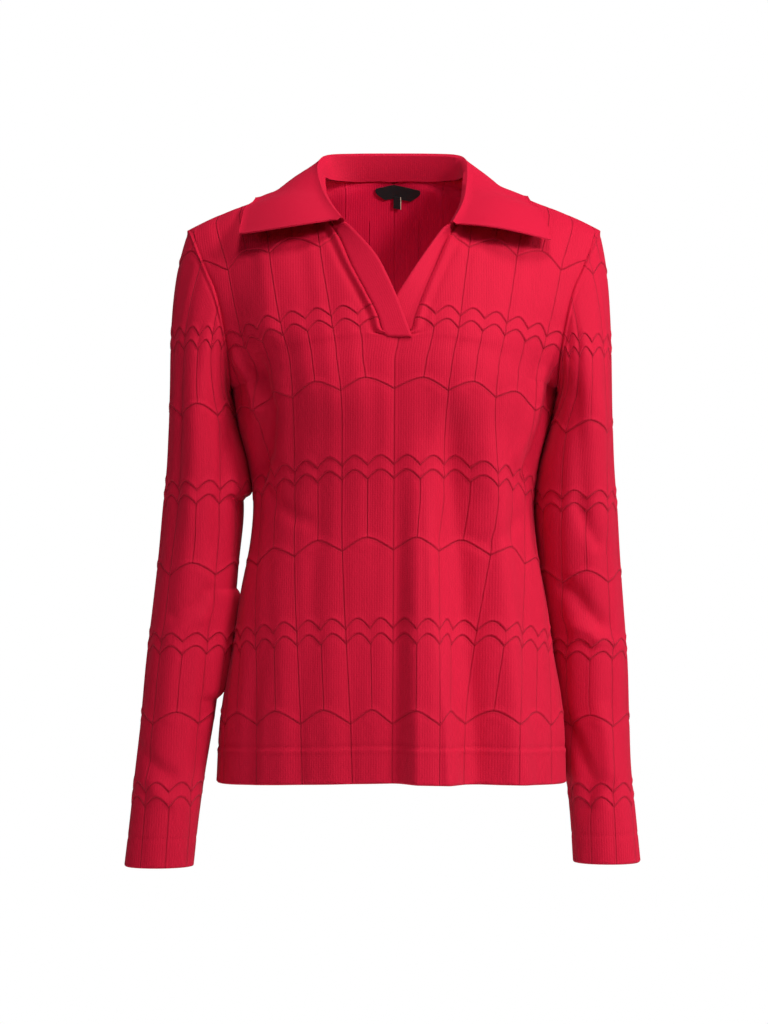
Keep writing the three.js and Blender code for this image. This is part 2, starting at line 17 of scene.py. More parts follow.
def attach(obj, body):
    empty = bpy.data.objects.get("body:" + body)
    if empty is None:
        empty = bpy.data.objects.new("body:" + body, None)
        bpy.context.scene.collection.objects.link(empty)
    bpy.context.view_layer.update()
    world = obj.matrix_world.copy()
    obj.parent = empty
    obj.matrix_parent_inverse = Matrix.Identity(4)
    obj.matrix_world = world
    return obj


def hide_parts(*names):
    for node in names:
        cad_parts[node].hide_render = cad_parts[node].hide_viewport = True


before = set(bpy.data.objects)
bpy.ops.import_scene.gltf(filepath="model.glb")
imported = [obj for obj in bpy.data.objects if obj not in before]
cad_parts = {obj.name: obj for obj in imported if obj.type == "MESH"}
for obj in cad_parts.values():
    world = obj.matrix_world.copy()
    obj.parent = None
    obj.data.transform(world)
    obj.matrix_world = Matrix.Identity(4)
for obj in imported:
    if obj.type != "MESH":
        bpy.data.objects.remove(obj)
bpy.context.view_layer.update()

Array = np.ndarray
Place = tuple[float, float, float]
Colour = tuple[float, float, float, float]
Heights = tuple[tuple[float, float], ...]  # rows of a height and a number
Value = "Array | Number"  # an array, or a number in a shader
LOG = logging.getLogger("tunic")

MM = 0.001
CLOTH = 1.6  # thickness of the relief knit
BAND_CLOTH = 1.5  # thickness of the plain knit of the collar and bands
SEAM_GAP = 0.3  # between two pieces that are linked
DRAWN_BACK = 0.05  # how far an edge is drawn back from its seam
SLEEVE_CLEAR = -0.7  # between the lofts of a sleeve and a side that it touches, where both seams dip in
HEM_TURN = 32.0
CUFF_TURN = 25.0
FOLD_RADIUS = CLOTH + SEAM_GAP  # of a turned edge, on its right side
CELL = 1.85  # side of a cell on a right side
WRONG_SIDE_STEP = 4  # cells of a right side to one of its wrong side
WRONG_SIDE_COURSE = 100.0  # added to the chart's numbers up on a wrong side, to tell it from a right side; the relief knit's finish paints a wrong side brighter, as painted light inside the garment
FOLD_DEGREES = (180, 150, 120, 90, 60, 30)  # round a turned edge, from the inner layer to the outer
TURN_SHARES = (1, 0.75, 0.5, 0.25)  # of a turned layer's height, one for each of its rows
SMOOTHINGS = 14  # passes that even out a kink
ALL_ROUND = 2 * math.pi


# ---------------------------------------------------------------------------------------------------
# Curves and fields


def ramp(low: float, high: float, value: Array) -> Array:
    """Returns a smooth step, 0 at low and 1 at high."""
    f = np.clip((np.asarray(value, float) - low) / (high - low), 0, 1)
    return f * f * (3 - 2 * f)


def bell(distance: Value, width: float) -> Value:
    """Returns a bell curve that is 1 at distance 0."""
    power = distance * distance * (-1 / width**2)
    return power.op("EXPONENT") if isinstance(power, Number) else np.exp(power)


def root(value: Value) -> Value:
    """Returns a square root."""
    return value.op("SQRT") if isinstance(value, Number) else np.sqrt(value)


def size(value: Value) -> Value:
    """Returns a number without its sign."""
    return value.op("ABSOLUTE") if isinstance(value, Number) else np.abs(value)


def fract(value: Value) -> Value:
    """Returns what is past the whole number below."""
    return value.op("FRACT") if isinstance(value, Number) else value % 1


def wrapped(value: Value) -> Value:
    """Returns how far a number is past the nearest whole one."""
    return fract(value + 0.5) - 0.5


def unit(v: Array) -> Array:
    """Returns the vectors at length 1."""
    return v / np.maximum(np.linalg.norm(v, axis=-1, keepdims=True), 1e-9)


def along(points: Array, t: Array) -> Array:
    """Follows a smooth curve through points.

    Args:
        points: The points or numbers that the curve passes through, first axis first.
        t: Places on the curve, counted in points. Past an end the curve runs straight on.

    Returns:
        The curve at each place.
    """
    points = np.asarray(points, float)
    t = np.asarray(t, float)
    padded = np.concatenate([[2 * points[0] - points[1]], points, [2 * points[-1] - points[-2]]])
    k = np.clip(np.floor(t).astype(int), 0, len(points) - 2)
    f = (t - k).reshape(t.shape + (1,) * (points.ndim - 1))
    p, q, r, s = (padded[k + i] for i in range(4))
    return 0.5 * (2 * q + (r - p) * f + (2 * p - 5 * q + 4 * r - s) * f**2 + (3 * q - p - 3 * r + s) * f**3)


def by_height(table: Heights, z: Array) -> Array:
    """Returns what a table of heights gives at each height."""
    return np.interp(z, *zip(*table))


def cubic(f: Array, controls: list[Array]) -> Array:
    """Returns the curve with these four control points, at shares of its way."""
    weights = ((1 - f) ** 3, 3 * (1 - f) ** 2 * f, 3 * (1 - f) * f**2, f**3)
    return sum(weight * point for weight, point in zip(weights, controls))


def lengths_along(points: Array, axis: int) -> Array:
    """Measures along lines of points.

    Args:
        points: A grid of points.
        axis: The axis that the lines run along.

    Returns:
        The running length of each line, from 0.
    """
    steps = np.linalg.norm(np.diff(points, axis=axis), axis=-1)
    first = np.zeros_like(np.take(steps, [0], axis))
    return np.concatenate([first, np.cumsum(steps, axis=axis)], axis=axis)


def edge_places(length: float, cells: int) -> Array:
    """Returns places from 0 to length with closer ones at both ends, where an edge rolls in."""
    near = np.array([0, 0.6, 1.4])
    return np.concatenate([near, np.linspace(2.6, length - 2.6, cells), length - near[::-1]])


def grid_normals(points: Array, closed: bool = False) -> Array:
    """Works out the normals of a grid of points.

    Args:
        points: The grid, rows by columns. On a closed grid the last column repeats the first.
        closed: Whether the columns go all round.

    Returns:
        Unit normals, on the side of columns crossed with rows.
    """
    across = np.gradient(points, axis=1)
    if closed:
        across[:, 0] = across[:, -1] = points[:, 1] - points[:, -2]
    return unit(np.cross(across, np.gradient(points, axis=0)))


@dataclass(frozen=True)
class Bead:
    """A ridge along an edge or a line, or a groove where its height is below 0."""

    height: float
    at: float  # distance from the edge
    width: float

    def out(self, distance: Value) -> Value:
        """Returns how far it stands out at a distance from the edge."""
        return bell(distance - self.at, self.width) * self.height


def beads(distance: Value, shapes: tuple[Bead, ...]) -> Value:
    """Returns how far some beads stand out together."""
    return sum(shape.out(distance) for shape in shapes)


# ---------------------------------------------------------------------------------------------------
# Walls of cloth


class Layer(Enum):
    """The two coordinate layers that finishes read."""

    CHART = "chart"
    STITCH = "stitch"


@dataclass
class Patch:
    """A stretch of a right side, as rows and columns of points.

    normals point away from the wrong side. chart counts the relief chart's repeats across and up, and
    stitch is millimetres across and up the cloth. kept_rows and kept_columns are those that the wrong
    side has too.
    """

    points: Array
    normals: Array
    chart: Array
    stitch: Array
    kept_rows: Array
    kept_columns: Array

    @classmethod
    def plain(cls, points: Array, normals: Array, stitch: Array, chart: Array | None = None) -> "Patch":
        """Returns a patch whose wrong side keeps evenly spaced rows and columns."""
        chart = stitch * 0 if chart is None else chart
        return cls(points, normals, chart, stitch, *(kept_places(n) for n in points.shape[:2]))


def kept_places(count: int, fine: int = 0, start: int = 0) -> Array:
    """Chooses the rows or columns of a wrong side.

    Args:
        count: How many the right side has.
        fine: How many at the start are all kept.
        start: Where the even spacing starts.

    Returns:
        The chosen numbers, with both ends.
    """
    chosen = set(range(fine)) | set(range(max(fine, start), count, WRONG_SIDE_STEP)) | {0, count - 1}
    return np.array(sorted(chosen))


def cell_corners(values: Array) -> Array:
    """Returns what a grid holds at the four corners of each of its cells."""
    corners = np.stack([values[:-1, :-1], values[:-1, 1:], values[1:, 1:], values[1:, :-1]], 2)
    return corners.reshape((-1, 4) + values.shape[2:])


class Wall:
    """A closed wall of cloth, put together from patches of its right side."""

    def __init__(self, name: str, thickness: float) -> None:
        """Starts an empty wall."""
        self.name = name
        self.thickness = thickness
        self.points: list[Array] = []
        self.count = 0
        self.faces: list[list[int]] = []
        self.corners: dict[Layer, list[Array]] = {layer: [] for layer in Layer}

    def number(self, points: Array, shared: Array | None, closed: bool) -> Array:
        """Numbers a grid of points.

        Args:
            points: The grid.
            shared: Numbers for its first column where it is joined to another patch, or -1.
            closed: Whether its last column is its first one.

        Returns:
            The number of each point.
        """
        self.points.append(points.reshape(-1, 3))
        ids = np.arange(points.shape[0] * points.shape[1]).reshape(points.shape[:2]) + self.count
        self.count += ids.size
        if shared is not None:
            ids[:, 0] = np.where(shared >= 0, shared, ids[:, 0])
        if closed:
            ids[:, -1] = ids[:, 0]
        return ids

    def add_faces(self, faces: list[list[int]], layers: dict[Layer, Array], turned: bool) -> None:
        """Adds faces.

        Args:
            faces: The numbers of each face's corners, as many for every face.
            layers: What the layers hold at each corner.
            turned: Whether the faces are turned over.
        """
        if turned:
            faces = [face[::-1] for face in faces]
        self.faces += faces
        for layer, values in layers.items():
            values = values[:, ::-1] if turned else values
            self.corners[layer].append(values.reshape(-1, 2))

    def add_grid(self, ids: Array, patch: Patch, rows: Array, columns: Array, turned: bool,
                 wrong_side: bool) -> None:
        """Adds the cells of a patch. A wrong side shows no waves.

        Args:
            ids: The numbers of the points.
            patch: The patch.
            rows: Its rows that the points lie on.
            columns: Its columns.
            turned: Whether the faces are turned over.
            wrong_side: Whether this is a wrong side.
        """
        picked = np.ix_(rows, columns)
        chart = cell_corners(patch.chart[picked])
        if wrong_side:
            chart[..., 1] = CHART.between_waves(chart[..., 1].mean(1))[:, None] + WRONG_SIDE_COURSE
        layers = {Layer.CHART: chart, Layer.STITCH: cell_corners(patch.stitch[picked])}
        self.add_faces(cell_corners(ids).tolist(), layers, turned)

    def add_rim(self, path: list[tuple[int, int]], ids: Array, wrong: dict[tuple[int, int], int],
                patch: Patch, turned: bool) -> None:
        """Closes the wall along one side of a patch.

        Args:
            path: The side's rows and columns, in the direction that the right side's faces run.
            ids: The right side's numbers.
            wrong: The wrong side's numbers, by row and column.
            patch: The patch.
            turned: Whether the patch's faces are turned over.
        """
        stops = [i for i, place in enumerate(path) if place in wrong]
        for a, b in zip(stops, stops[1:]):
            run = path[a:b + 1][::-1]
            face = [int(ids[p]) for p in run] + [wrong[path[a]], wrong[path[b]]]
            places = run + [path[a], path[b]]
            layers = {Layer.CHART: np.array([[patch.chart[p] for p in places]]),
                      Layer.STITCH: np.array([[patch.stitch[p] for p in places]])}
            self.add_faces([face], layers, turned)

    def add_patch(self, patch: Patch, turned: bool, closed: bool = False, joined_rows: int = 0,
                  to: tuple[Array, Array] | None = None) -> tuple[Array, Array]:
        """Adds a patch, its wrong side and the rims along its open sides.

        Args:
            patch: The patch.
            turned: Whether its normals are on the other side of columns crossed with rows.
            closed: Whether its columns go all round.
            joined_rows: How many rows of its first column have another patch beside them.
            to: That patch's numbers for the right and wrong side, if it is there already.

        Returns:
            The numbers of its right and its wrong side.
        """
        rows, columns = patch.kept_rows, patch.kept_columns
        picked = np.ix_(rows, columns)
        shared = shared_wrong = None
        if to is not None:
            row_numbers = np.arange(len(patch.points))
            shared = np.where(row_numbers < joined_rows, to[0][:, 0], -1)
            shared_wrong = np.where(rows < joined_rows, to[1][:, 0], -1)
        ids = self.number(patch.points, shared, closed)
        inner = patch.points[picked] - patch.normals[picked] * self.thickness
        wrong = self.number(inner, shared_wrong, closed)
        every_row, every_column = (np.arange(n) for n in patch.points.shape[:2])
        self.add_grid(ids, patch, every_row, every_column, turned, wrong_side=False)
        self.add_grid(wrong, patch, rows, columns, not turned, wrong_side=True)
        found = {(r, c): int(wrong[i, j]) for i, r in enumerate(rows) for j, c in enumerate(columns)}
        last_row, last_column = len(every_row) - 1, len(every_column) - 1
        sides = [[(0, c) for c in every_column], [(last_row, c) for c in every_column[::-1]]]
        if not closed:
            sides.append([(r, last_column) for r in every_row])
            sides.append([(r, 0) for r in every_row[::-1] if r >= max(0, joined_rows - 1)])
        for side in sides:
            self.add_rim([(int(r), int(c)) for r, c in side], ids, found, patch, turned)
        return ids, wrong

    def make(self) -> bpy.types.Object:
        """Makes the wall a Blender object.

        Returns:
            The object, in metres, with its two coordinate layers.
        """
        points = np.concatenate(self.points)
        used = np.zeros(len(points), bool)
        flat = np.concatenate([np.array(face) for face in self.faces])
        used[flat] = True
        place = np.cumsum(used) - 1
        mesh = bpy.data.meshes.new(self.name + "_cloth")
        faces = [[int(place[i]) for i in face] for face in self.faces]
        mesh.from_pydata((points[used] * MM).tolist(), [], faces)
        for layer in Layer:
            values = np.concatenate(self.corners[layer]).astype(np.float32)
            mesh.uv_layers.new(name=layer.value).data.foreach_set("uv", values.ravel())
        mesh.shade_smooth()
        mesh.set_sharp_from_angle(angle=math.radians(50))
        piece = bpy.data.objects.new(self.name + "_cloth", mesh)
        bpy.context.scene.collection.objects.link(piece)
        LOG.info("%s: %d points, %d triangles", self.name, used.sum(),
                 sum(len(face) - 2 for face in self.faces))
        return piece


def one_patch_wall(name: str, thickness: float, patch: Patch, turned: bool,
                   closed: bool = False) -> bpy.types.Object:
    """Makes a wall that is all one patch.

    Args:
        name: The piece's name.
        thickness: Of the cloth.
        patch: The patch.
        turned: Whether its normals are on the other side of columns crossed with rows.
        closed: Whether its columns go all round.

    Returns:
        The piece.
    """
    wall = Wall(name, thickness)
    wall.add_patch(patch, turned, closed)
    return wall.make()


# ---------------------------------------------------------------------------------------------------
# The relief knit's chart


@dataclass(frozen=True)
class KnitChart:
    """The repeat of the relief knit, for arrays and for shader numbers.

    Full ribs run at whole numbers across. A single wave lies at each whole number up, and a double
    wave halfway between. Half ribs run from a single wave up to the double wave above it.
    """

    rib: float = 50.0  # from one full rib to the next
    repeat: float = 147.0  # from one single wave to the next
    arch: float = 11.5  # height of a single wave's arches
    small_arch: float = 8.5  # and of the double wave's, which are half as wide
    pair: float = 12.6  # between the two lines of a double wave
    bend: float = 0.34  # how round the tops of the arches are
    small_bend: float = 0.6
    puff: float = 0.3  # how far the cloth between the ribs stands out
    tilt: float = 0.35  # how unevenly
    rib_groove: Bead = Bead(-0.9, 0, 6.0)
    half_rib_groove: Bead = Bead(-0.55, 0, 5.0)
    wave_edge: tuple[Bead, ...] = (Bead(0.65, 1.8, 2.1), Bead(-0.5, -1.7, 2.1))

    def above(self, across: Value, up: Value, arch: float, span: float,
              bend: float) -> Value:
        """Works out the distance from a wave.

        Args:
            across: Place across, counted in arches.
            up: Millimetres above the feet of the arches.
            arch: Their height.
            span: Their width.
            bend: How round their tops are.

        Returns:
            The distance, which is above 0 on the upper side.
        """
        away = 1 - size(wrapped(across)) * 2
        curve = root(away * away + bend**2)
        scale = math.sqrt(1 + bend**2) - bend
        slope = away / curve * (2 * arch / span / scale)
        return (up - arch + (curve - bend) * (arch / scale)) / root(slope * slope + 1)

    def waves(self, u: Value, v: Value) -> list:
        """Measures from the waves.

        Args:
            u: The chart's numbers across.
            v: The chart's numbers up.

        Returns:
            The distance above the single wave and above both lines of the double one.
        """
        lift = self.arch / 2 / self.repeat
        single = (wrapped(v - lift) + lift) * self.repeat
        double = wrapped(v - 0.5) * self.repeat
        return [self.above(u, single, self.arch, self.rib, self.bend)] + [
            self.above(u * 2, double + shift, self.small_arch, self.rib / 2, self.small_bend)
            for shift in (-self.pair / 2, self.pair / 2)]

    def ribs(self, u: Value) -> tuple:
        """Returns the distances from the nearest full rib and the nearest half rib."""
        return wrapped(u) * self.rib, wrapped(u + 0.5) * self.rib

    def half_zone(self) -> tuple[float, float]:
        """Returns the places up, as a share of the repeat, between which half ribs run."""
        return self.arch / self.repeat, 0.5 - self.pair / 2 / self.repeat

    def between_waves(self, v: Array) -> Array:
        """Moves places clear of the waves.

        Args:
            v: The chart's numbers up.

        Returns:
            The middle of where half ribs run, for a place there, or else a place above the double wave.
        """
        low, high = self.half_zone()
        inside = (v % 1 > low) & (v % 1 < high)
        return np.floor(v) + np.where(inside, (low + high) / 2, 0.75)

    def relief(self, u: Array, v: Array) -> Array:
        """Works out the relief.

        Args:
            u: The chart's numbers across.
            v: The chart's numbers up.

        Returns:
            How far the cloth stands out there, in millimetres.
        """
        full, half = self.ribs(u)
        low, high = self.half_zone()
        up = v % 1
        shown = ramp(low, low + 0.02, up) * (1 - ramp(high - 0.01, high + 0.01, up))
        strip = np.floor(u * 2) + 17 * np.floor(v)
        tilt = self.tilt * np.sin(strip * 12.9898 + 4.1)  # another one for each strip between ribs
        out = self.puff + self.rib_groove.out(full) + shown * self.half_rib_groove.out(half)
        out = out + tilt * np.sin(2 * ALL_ROUND * u)
        return out + sum(beads(distance, self.wave_edge) for distance in self.waves(u, v))


CHART = KnitChart()


def course_at(heights: tuple[float, ...], first: float, z: Array) -> Array:
    """Finds where on the chart a height lies.

    Args:
        heights: The height of each wave, in turn, half a repeat apart.
        first: The chart's number for the first of them.
        z: Heights.

    Returns:
        The chart's number up at each height.
    """
    places = np.linspace(-2, len(heights) + 1, 600)
    return np.interp(z, along(np.array(heights), places), first + places / 2)


# ---------------------------------------------------------------------------------------------------
# Creases


class Part(Enum):
    """The parts that creases are placed on."""

    FRONT = "front"
    BACK = "back"
    SLEEVE_LEFT = "sleeve_left"
    SLEEVE_RIGHT = "sleeve_right"


@dataclass(frozen=True)
class Crease:
    """A soft ridge or trough. line holds (x, z) places on the side of a part that faces front or back."""

    part: Part
    line: tuple[tuple[float, float], ...]
    height: float
    width: float
    behind: bool = False
    ends: tuple[float, float] = (0.2, 0.2)  # shares of the line over which it fades at either end

    def amount(self, points: Array, on: Array) -> Array:
        """Works out how far the crease moves points outwards.

        Args:
            points: The points to move.
            on: The crease's own line on the cloth.

        Returns:
            The move at each point, which fades at both ends of the line.
        """
        total = lengths_along(on, 0)
        best = np.full(points.shape[:-1], np.inf)
        place = np.zeros(points.shape[:-1])
        for a, b, start, end in zip(on, on[1:], total, total[1:]):
            d = b - a
            f = np.clip(((points - a) @ d) / max(d @ d, 1e-9), 0, 1)
            away = np.linalg.norm(points - a - f[..., None] * d, axis=-1)
            nearer = away < best
            best = np.where(nearer, away, best)
            place = np.where(nearer, (start + f * (end - start)) / total[-1], place)
        fade = ramp(0, self.ends[0], place) * (1 - ramp(1 - self.ends[1], 1, place))
        return self.height * bell(best, self.width) * fade


CREASES = (
    # The trough beside the drape
    Crease(Part.FRONT,
           ((52, -212), (55, -260), (59, -320), (65, -400), (71, -470), (78, -540), (82, -600)),
           -8.5, 14, ends=(0.2, 0.01)),
    Crease(Part.FRONT,
           ((86, -215), (90, -260), (96, -320), (102, -400), (108, -470), (114, -540), (118, -600)),
           9.5, 16, ends=(0.25, 0.01)),
    # Soft folds of the other side, down to the hem
    Crease(Part.FRONT, ((-66, -250), (-74, -330), (-80, -420), (-86, -520), (-90, -600)), -3.0, 14,
           ends=(0.3, 0.01)),
    Crease(Part.FRONT, ((-28, -380), (-33, -460), (-37, -540), (-40, -600)), -2.0, 12, ends=(0.4, 0.01)),
    # Under the arms, and the flat of the chest above
    Crease(Part.FRONT, ((-114, -64), (-117, -100), (-120, -140), (-121, -180)), 6.0, 24),
    Crease(Part.FRONT, ((-160, -172), (-148, -188), (-139, -204), (-133, -228), (-131, -252)), 5.5, 6.5),
    Crease(Part.FRONT, ((-142, -170), (-129, -202), (-121, -236), (-124, -270), (-134, -312)), -11.0, 13.0),
    Crease(Part.FRONT, ((-112, -196), (-104, -226), (-104, -256), (-112, -290)), 2.0, 11),
    Crease(Part.FRONT, ((160, -176), (154, -208), (144, -245), (130, -286), (116, -318)), -5.0, 9.5),
    Crease(Part.FRONT, ((144, -188), (136, -224), (124, -260), (108, -296)), 3.5, 9),
    # Slack over the waist at the sides
    Crease(Part.FRONT, ((-128, -300), (-112, -324), (-92, -338), (-70, -344)), -2.0, 8),
    Crease(Part.FRONT, ((126, -330), (108, -350), (86, -360), (64, -362)), -1.8, 9),
    Crease(Part.FRONT, ((-122, -420), (-130, -480), (-136, -540), (-140, -600)), -3.0, 11, ends=(0.4, 0.01)),
    # The sleeves: soft lengthwise folds, and slanting ones at the elbow and over the cuff
    Crease(Part.SLEEVE_LEFT, ((171, -190), (176, -255), (180, -310), (184, -366)), -3.2, 11),
    Crease(Part.SLEEVE_LEFT, ((198, -210), (202, -290), (206, -370)), 2.4, 9),
    Crease(Part.SLEEVE_LEFT, ((172, -314), (186, -342), (200, -372)), -2.8, 7.5),
    Crease(Part.SLEEVE_LEFT, ((158, -392), (180, -418), (208, -450)), -5.2, 9.5),
    Crease(Part.SLEEVE_LEFT, ((166, -436), (194, -452), (226, -466)), 3.6, 8),
    Crease(Part.SLEEVE_LEFT, ((164, -524), (178, -560), (192, -592), (187, -614), (174, -636)), -4.6, 9.5),
    Crease(Part.SLEEVE_LEFT, ((199, -512), (207, -560), (213, -604)), 3.4, 9),
    Crease(Part.SLEEVE_LEFT, ((196, -300), (184, -338), (168, -366)), -3.0, 8, behind=True),
    Crease(Part.SLEEVE_LEFT, ((210, -352), (190, -388), (166, -410)), -3.4, 8, behind=True),
    Crease(Part.SLEEVE_LEFT, ((208, -330), (192, -362), (170, -388)), 2.4, 7, behind=True),
    Crease(Part.SLEEVE_LEFT, ((204, -470), (200, -540), (206, -600)), -2.4, 9, behind=True),
    Crease(Part.SLEEVE_RIGHT, ((-204, -160), (-207, -240), (-211, -310), (-217, -376)), -2.8, 8),
    Crease(Part.SLEEVE_RIGHT, ((-185, -190), (-190, -280), (-197, -360)), 1.8, 10),
    Crease(Part.SLEEVE_RIGHT, ((-163, -240), (-167, -310), (-176, -390)), -2.6, 9),
    Crease(Part.SLEEVE_RIGHT, ((-172, -398), (-192, -420), (-220, -438)), -2.4, 7),
    Crease(Part.SLEEVE_RIGHT, ((-178, -424), (-200, -444), (-226, -458)), 1.8, 7),
    Crease(Part.SLEEVE_RIGHT, ((-246, -548), (-226, -576), (-202, -590)), -2.6, 7),
    Crease(Part.SLEEVE_RIGHT, ((-244, -580), (-224, -604), (-204, -614)), 1.8, 7),
    Crease(Part.SLEEVE_RIGHT, ((-210, -290), (-192, -330), (-172, -352)), -2.8, 8, behind=True),
    Crease(Part.SLEEVE_RIGHT, ((-222, -356), (-200, -392), (-174, -414)), -3.4, 8, behind=True),
    Crease(Part.SLEEVE_RIGHT, ((-218, -330), (-198, -366), (-174, -388)), 2.2, 7, behind=True),
    Crease(Part.SLEEVE_RIGHT, ((-214, -480), (-216, -540), (-226, -600)), -2.2, 9, behind=True),
    # The back: under the arms, the hollow over the waist and two soft folds below it
    Crease(Part.BACK, ((-162, -180), (-150, -204), (-139, -234), (-128, -266), (-112, -296)), -5.0, 10),
    Crease(Part.BACK, ((-146, -182), (-134, -212), (-122, -246), (-106, -276)), 3.0, 8),
    Crease(Part.BACK, ((160, -178), (151, -206), (142, -238), (133, -274), (122, -306)), -4.5, 10),
    Crease(Part.BACK, ((142, -186), (131, -220), (118, -252), (98, -284)), 3.0, 9),
    Crease(Part.BACK, ((-118, -318), (-74, -338), (-26, -345), (22, -341)), -3.2, 8),
    Crease(Part.BACK, ((-22, -362), (30, -366), (78, -358), (120, -338)), -2.8, 8),
    Crease(Part.BACK, ((-92, -340), (-46, -357), (4, -356)), 2.2, 7),
    Crease(Part.BACK, ((-62, -390), (-70, -460), (-76, -530), (-80, -604)), -4.5, 13, ends=(0.4, 0.01)),
    Crease(Part.BACK, ((48, -400), (54, -470), (57, -540), (60, -606)), -4.0, 13, ends=(0.4, 0.01)),
    Crease(Part.BACK, ((-8, -410), (-10, -480), (-11, -540), (-12, -608)), 3.5, 14, ends=(0.4, 0.01)),
    Crease(Part.BACK, ((106, -420), (112, -490), (116, -604)), -2.6, 11, ends=(0.4, 0.01)),
)


# ---------------------------------------------------------------------------------------------------
# The body


@dataclass(frozen=True)
class Section:
    """One curve across half a panel: where it starts, how it leaves and arrives, and where it ends."""

    inner: Place
    leave: Place
    arrive: Place
    outer: Place


FRONT_ROWS = (
    Section((0, -108, -585.5), (97, 0, -2), (0, 61, 0), (169.5, 0, -591.5)),
    Section((0, -108, -526), (95, 0, -2), (0, 60, 0), (166.5, 0, -532)),
    Section((0, -105, -465), (90, 0, -2), (0, 58, 0), (157, 0, -472)),
    Section((0, -99, -406), (84, 0, -2), (0, 55, 0), (148, 0, -413)),
    Section((0, -96, -352), (79, 0, -2), (0, 53, 0), (138.5, 0, -360)),
    Section((0, -99, -308), (79, 0, -3), (0, 54, 0), (136, 0, -319)),
    Section((0, -107, -268), (84, 0, -4), (0, 58, 0), (141, 1, -284)),
    Section((0, -114, -229), (90, 0, -5), (0, 61, 0), (151, 2, -249)),
    Section((0, -117, -195), (94, 0, -6), (0, 60, 0), (157, 2, -217)),
    Section((0, -117, -179), (92, 0, -6), (22, 42, 0), (157.5, -26, -208)),
    Section((0, -116, -165), (86, 0, -6), (32, 36, -4), (158.2, -40, -194)),
    Section((13, -115, -161.5), (75, 0, -5), (36, 32, -6), (159.2, -47, -182)),
    Section((18, -112, -145), (72, 0, -5), (38, 30, -8), (161, -51, -167)),
    Section((28, -105.5, -122), (62, 2, -5), (40, 26, -11), (166, -51, -140)),
    Section((39, -95.5, -99), (54, 3, -6), (41, 22, -13), (172, -45, -118)),
    Section((51, -80, -71), (46, 2, -10), (42, 17, -15), (180, -37, -100)),
    Section((61, -54, -51), (43, -1, -13), (43, 12, -17), (188, -26, -81)),
    Section((67, -20, -30), (43, -4, -15), (41, 7, -21), (195, -11, -63)),
    Section((70, 12, -5), (43, -3, -19), (40, 1, -22), (199, 4, -57)),
)
BACK_ROWS = (
    Section((0, 112, -595.5), (97, 0, 0), (0, -62, 0), (169.5, 0, -591.5)),
    Section((0, 114, -534), (95, 0, 0), (0, -63, 0), (166.5, 0, -532)),
    Section((0, 111, -472), (90, 0, 0), (0, -61, 0), (157, 0, -472)),
    Section((0, 101, -411), (84, 0, 0), (0, -56, 0), (148, 0, -413)),
    Section((0, 90, -358), (79, 0, 0), (0, -50, 0), (138.5, 0, -360)),
    Section((0, 88, -316), (79, 0, 0), (0, -48, 0), (136, 0, -319)),
    Section((0, 92, -279), (84, 0, 0), (0, -50, 0), (141, 1, -284)),
    Section((0, 98, -242), (90, 0, 0), (0, -52, 0), (151, 2, -249)),
    Section((0, 103, -209), (92, 0, 0), (0, -54, 0), (157, 2, -217)),
    Section((0, 106, -186), (90, 0, 0), (18, -44, 0), (158, 28, -209)),
    Section((0, 107, -162), (86, 0, -1), (30, -34, -3), (160, 47, -193)),
    Section((0, 105, -137), (80, 0, -2), (36, -28, -6), (163.5, 57, -170)),
    Section((0, 101, -111), (74, 0, -3), (40, -24, -9), (169, 59, -145)),
    Section((0, 94, -84), (68, 0, -4), (42, -20, -12), (175, 54, -122)),
    Section((0, 84, -56), (64, 0, -6), (44, -17, -15), (182, 46, -101)),
    Section((0, 73, -29), (60, 0, -8), (46, -14, -17), (188.5, 36, -83)),
    Section((0, 63, -6), (56, 1, -10), (47, -9, -17), (194, 26, -69)),
    Section((39, 58, -5), (50, 1, -16), (46, -6, -17), (196.5, 18, -62)),
    Section((62, 41, -5), (45, -1, -18), (41, -2, -21), (198, 11, -58.5)),
    Section((70, 12, -5), (43, -3, -19), (40, 1, -22), (199, 4, -57)),
)
ARMPIT_ROW = 8  # the section of both panels that ends at the bottom of the armhole
SLIT_ROW = 10  # the front section above which the placket slit opens
NECK_ROW = 15  # the front section where the slit ends and the neck edge starts
BACK_NECK_ROW = 16  # the back section at the middle of the neck edge


@dataclass(frozen=True)
class Drape:
    """The wide fold of the front beside its centre, which grows towards the hem."""

    heights: Heights = ((-600, 21), (-525, 19), (-457, 16.5), (-400, 13.5), (-350, 9.5), (-300, 4.5),
                        (-262, 0))
    left: float = 3.0  # where its left flank starts
    right: Heights = ((-600, 73), (-525, 67), (-457, 60), (-400, 54), (-350, 50), (-300, 46))
    flank: float = 22.0  # width of its left flank
    right_flank: float = 20.0

    def out(self, x: Array, z: Array) -> Array:
        """Returns how far the fold stands out."""
        right = by_height(self.right, z)
        shape = ramp(self.left, self.left + self.flank, x) * (1 - ramp(right - self.right_flank, right, x))
        return by_height(self.heights, z) * shape


@dataclass(frozen=True)
class Bust:
    """How the front fills out over the bust, with a steeper slope below."""

    out: float = 9.5
    side: float = 80.0  # from the centre to its fullest place
    width: float = 46.0
    top: float = -125.0
    full: float = -206.0
    under: float = -262.0

    def fills(self, x: Array, z: Array) -> Array:
        """Returns how far the front stands out."""
        across = bell(np.abs(x) - self.side, self.width)
        return self.out * across * (1 - ramp(self.full, self.top, z)) * ramp(self.under, self.full, z)


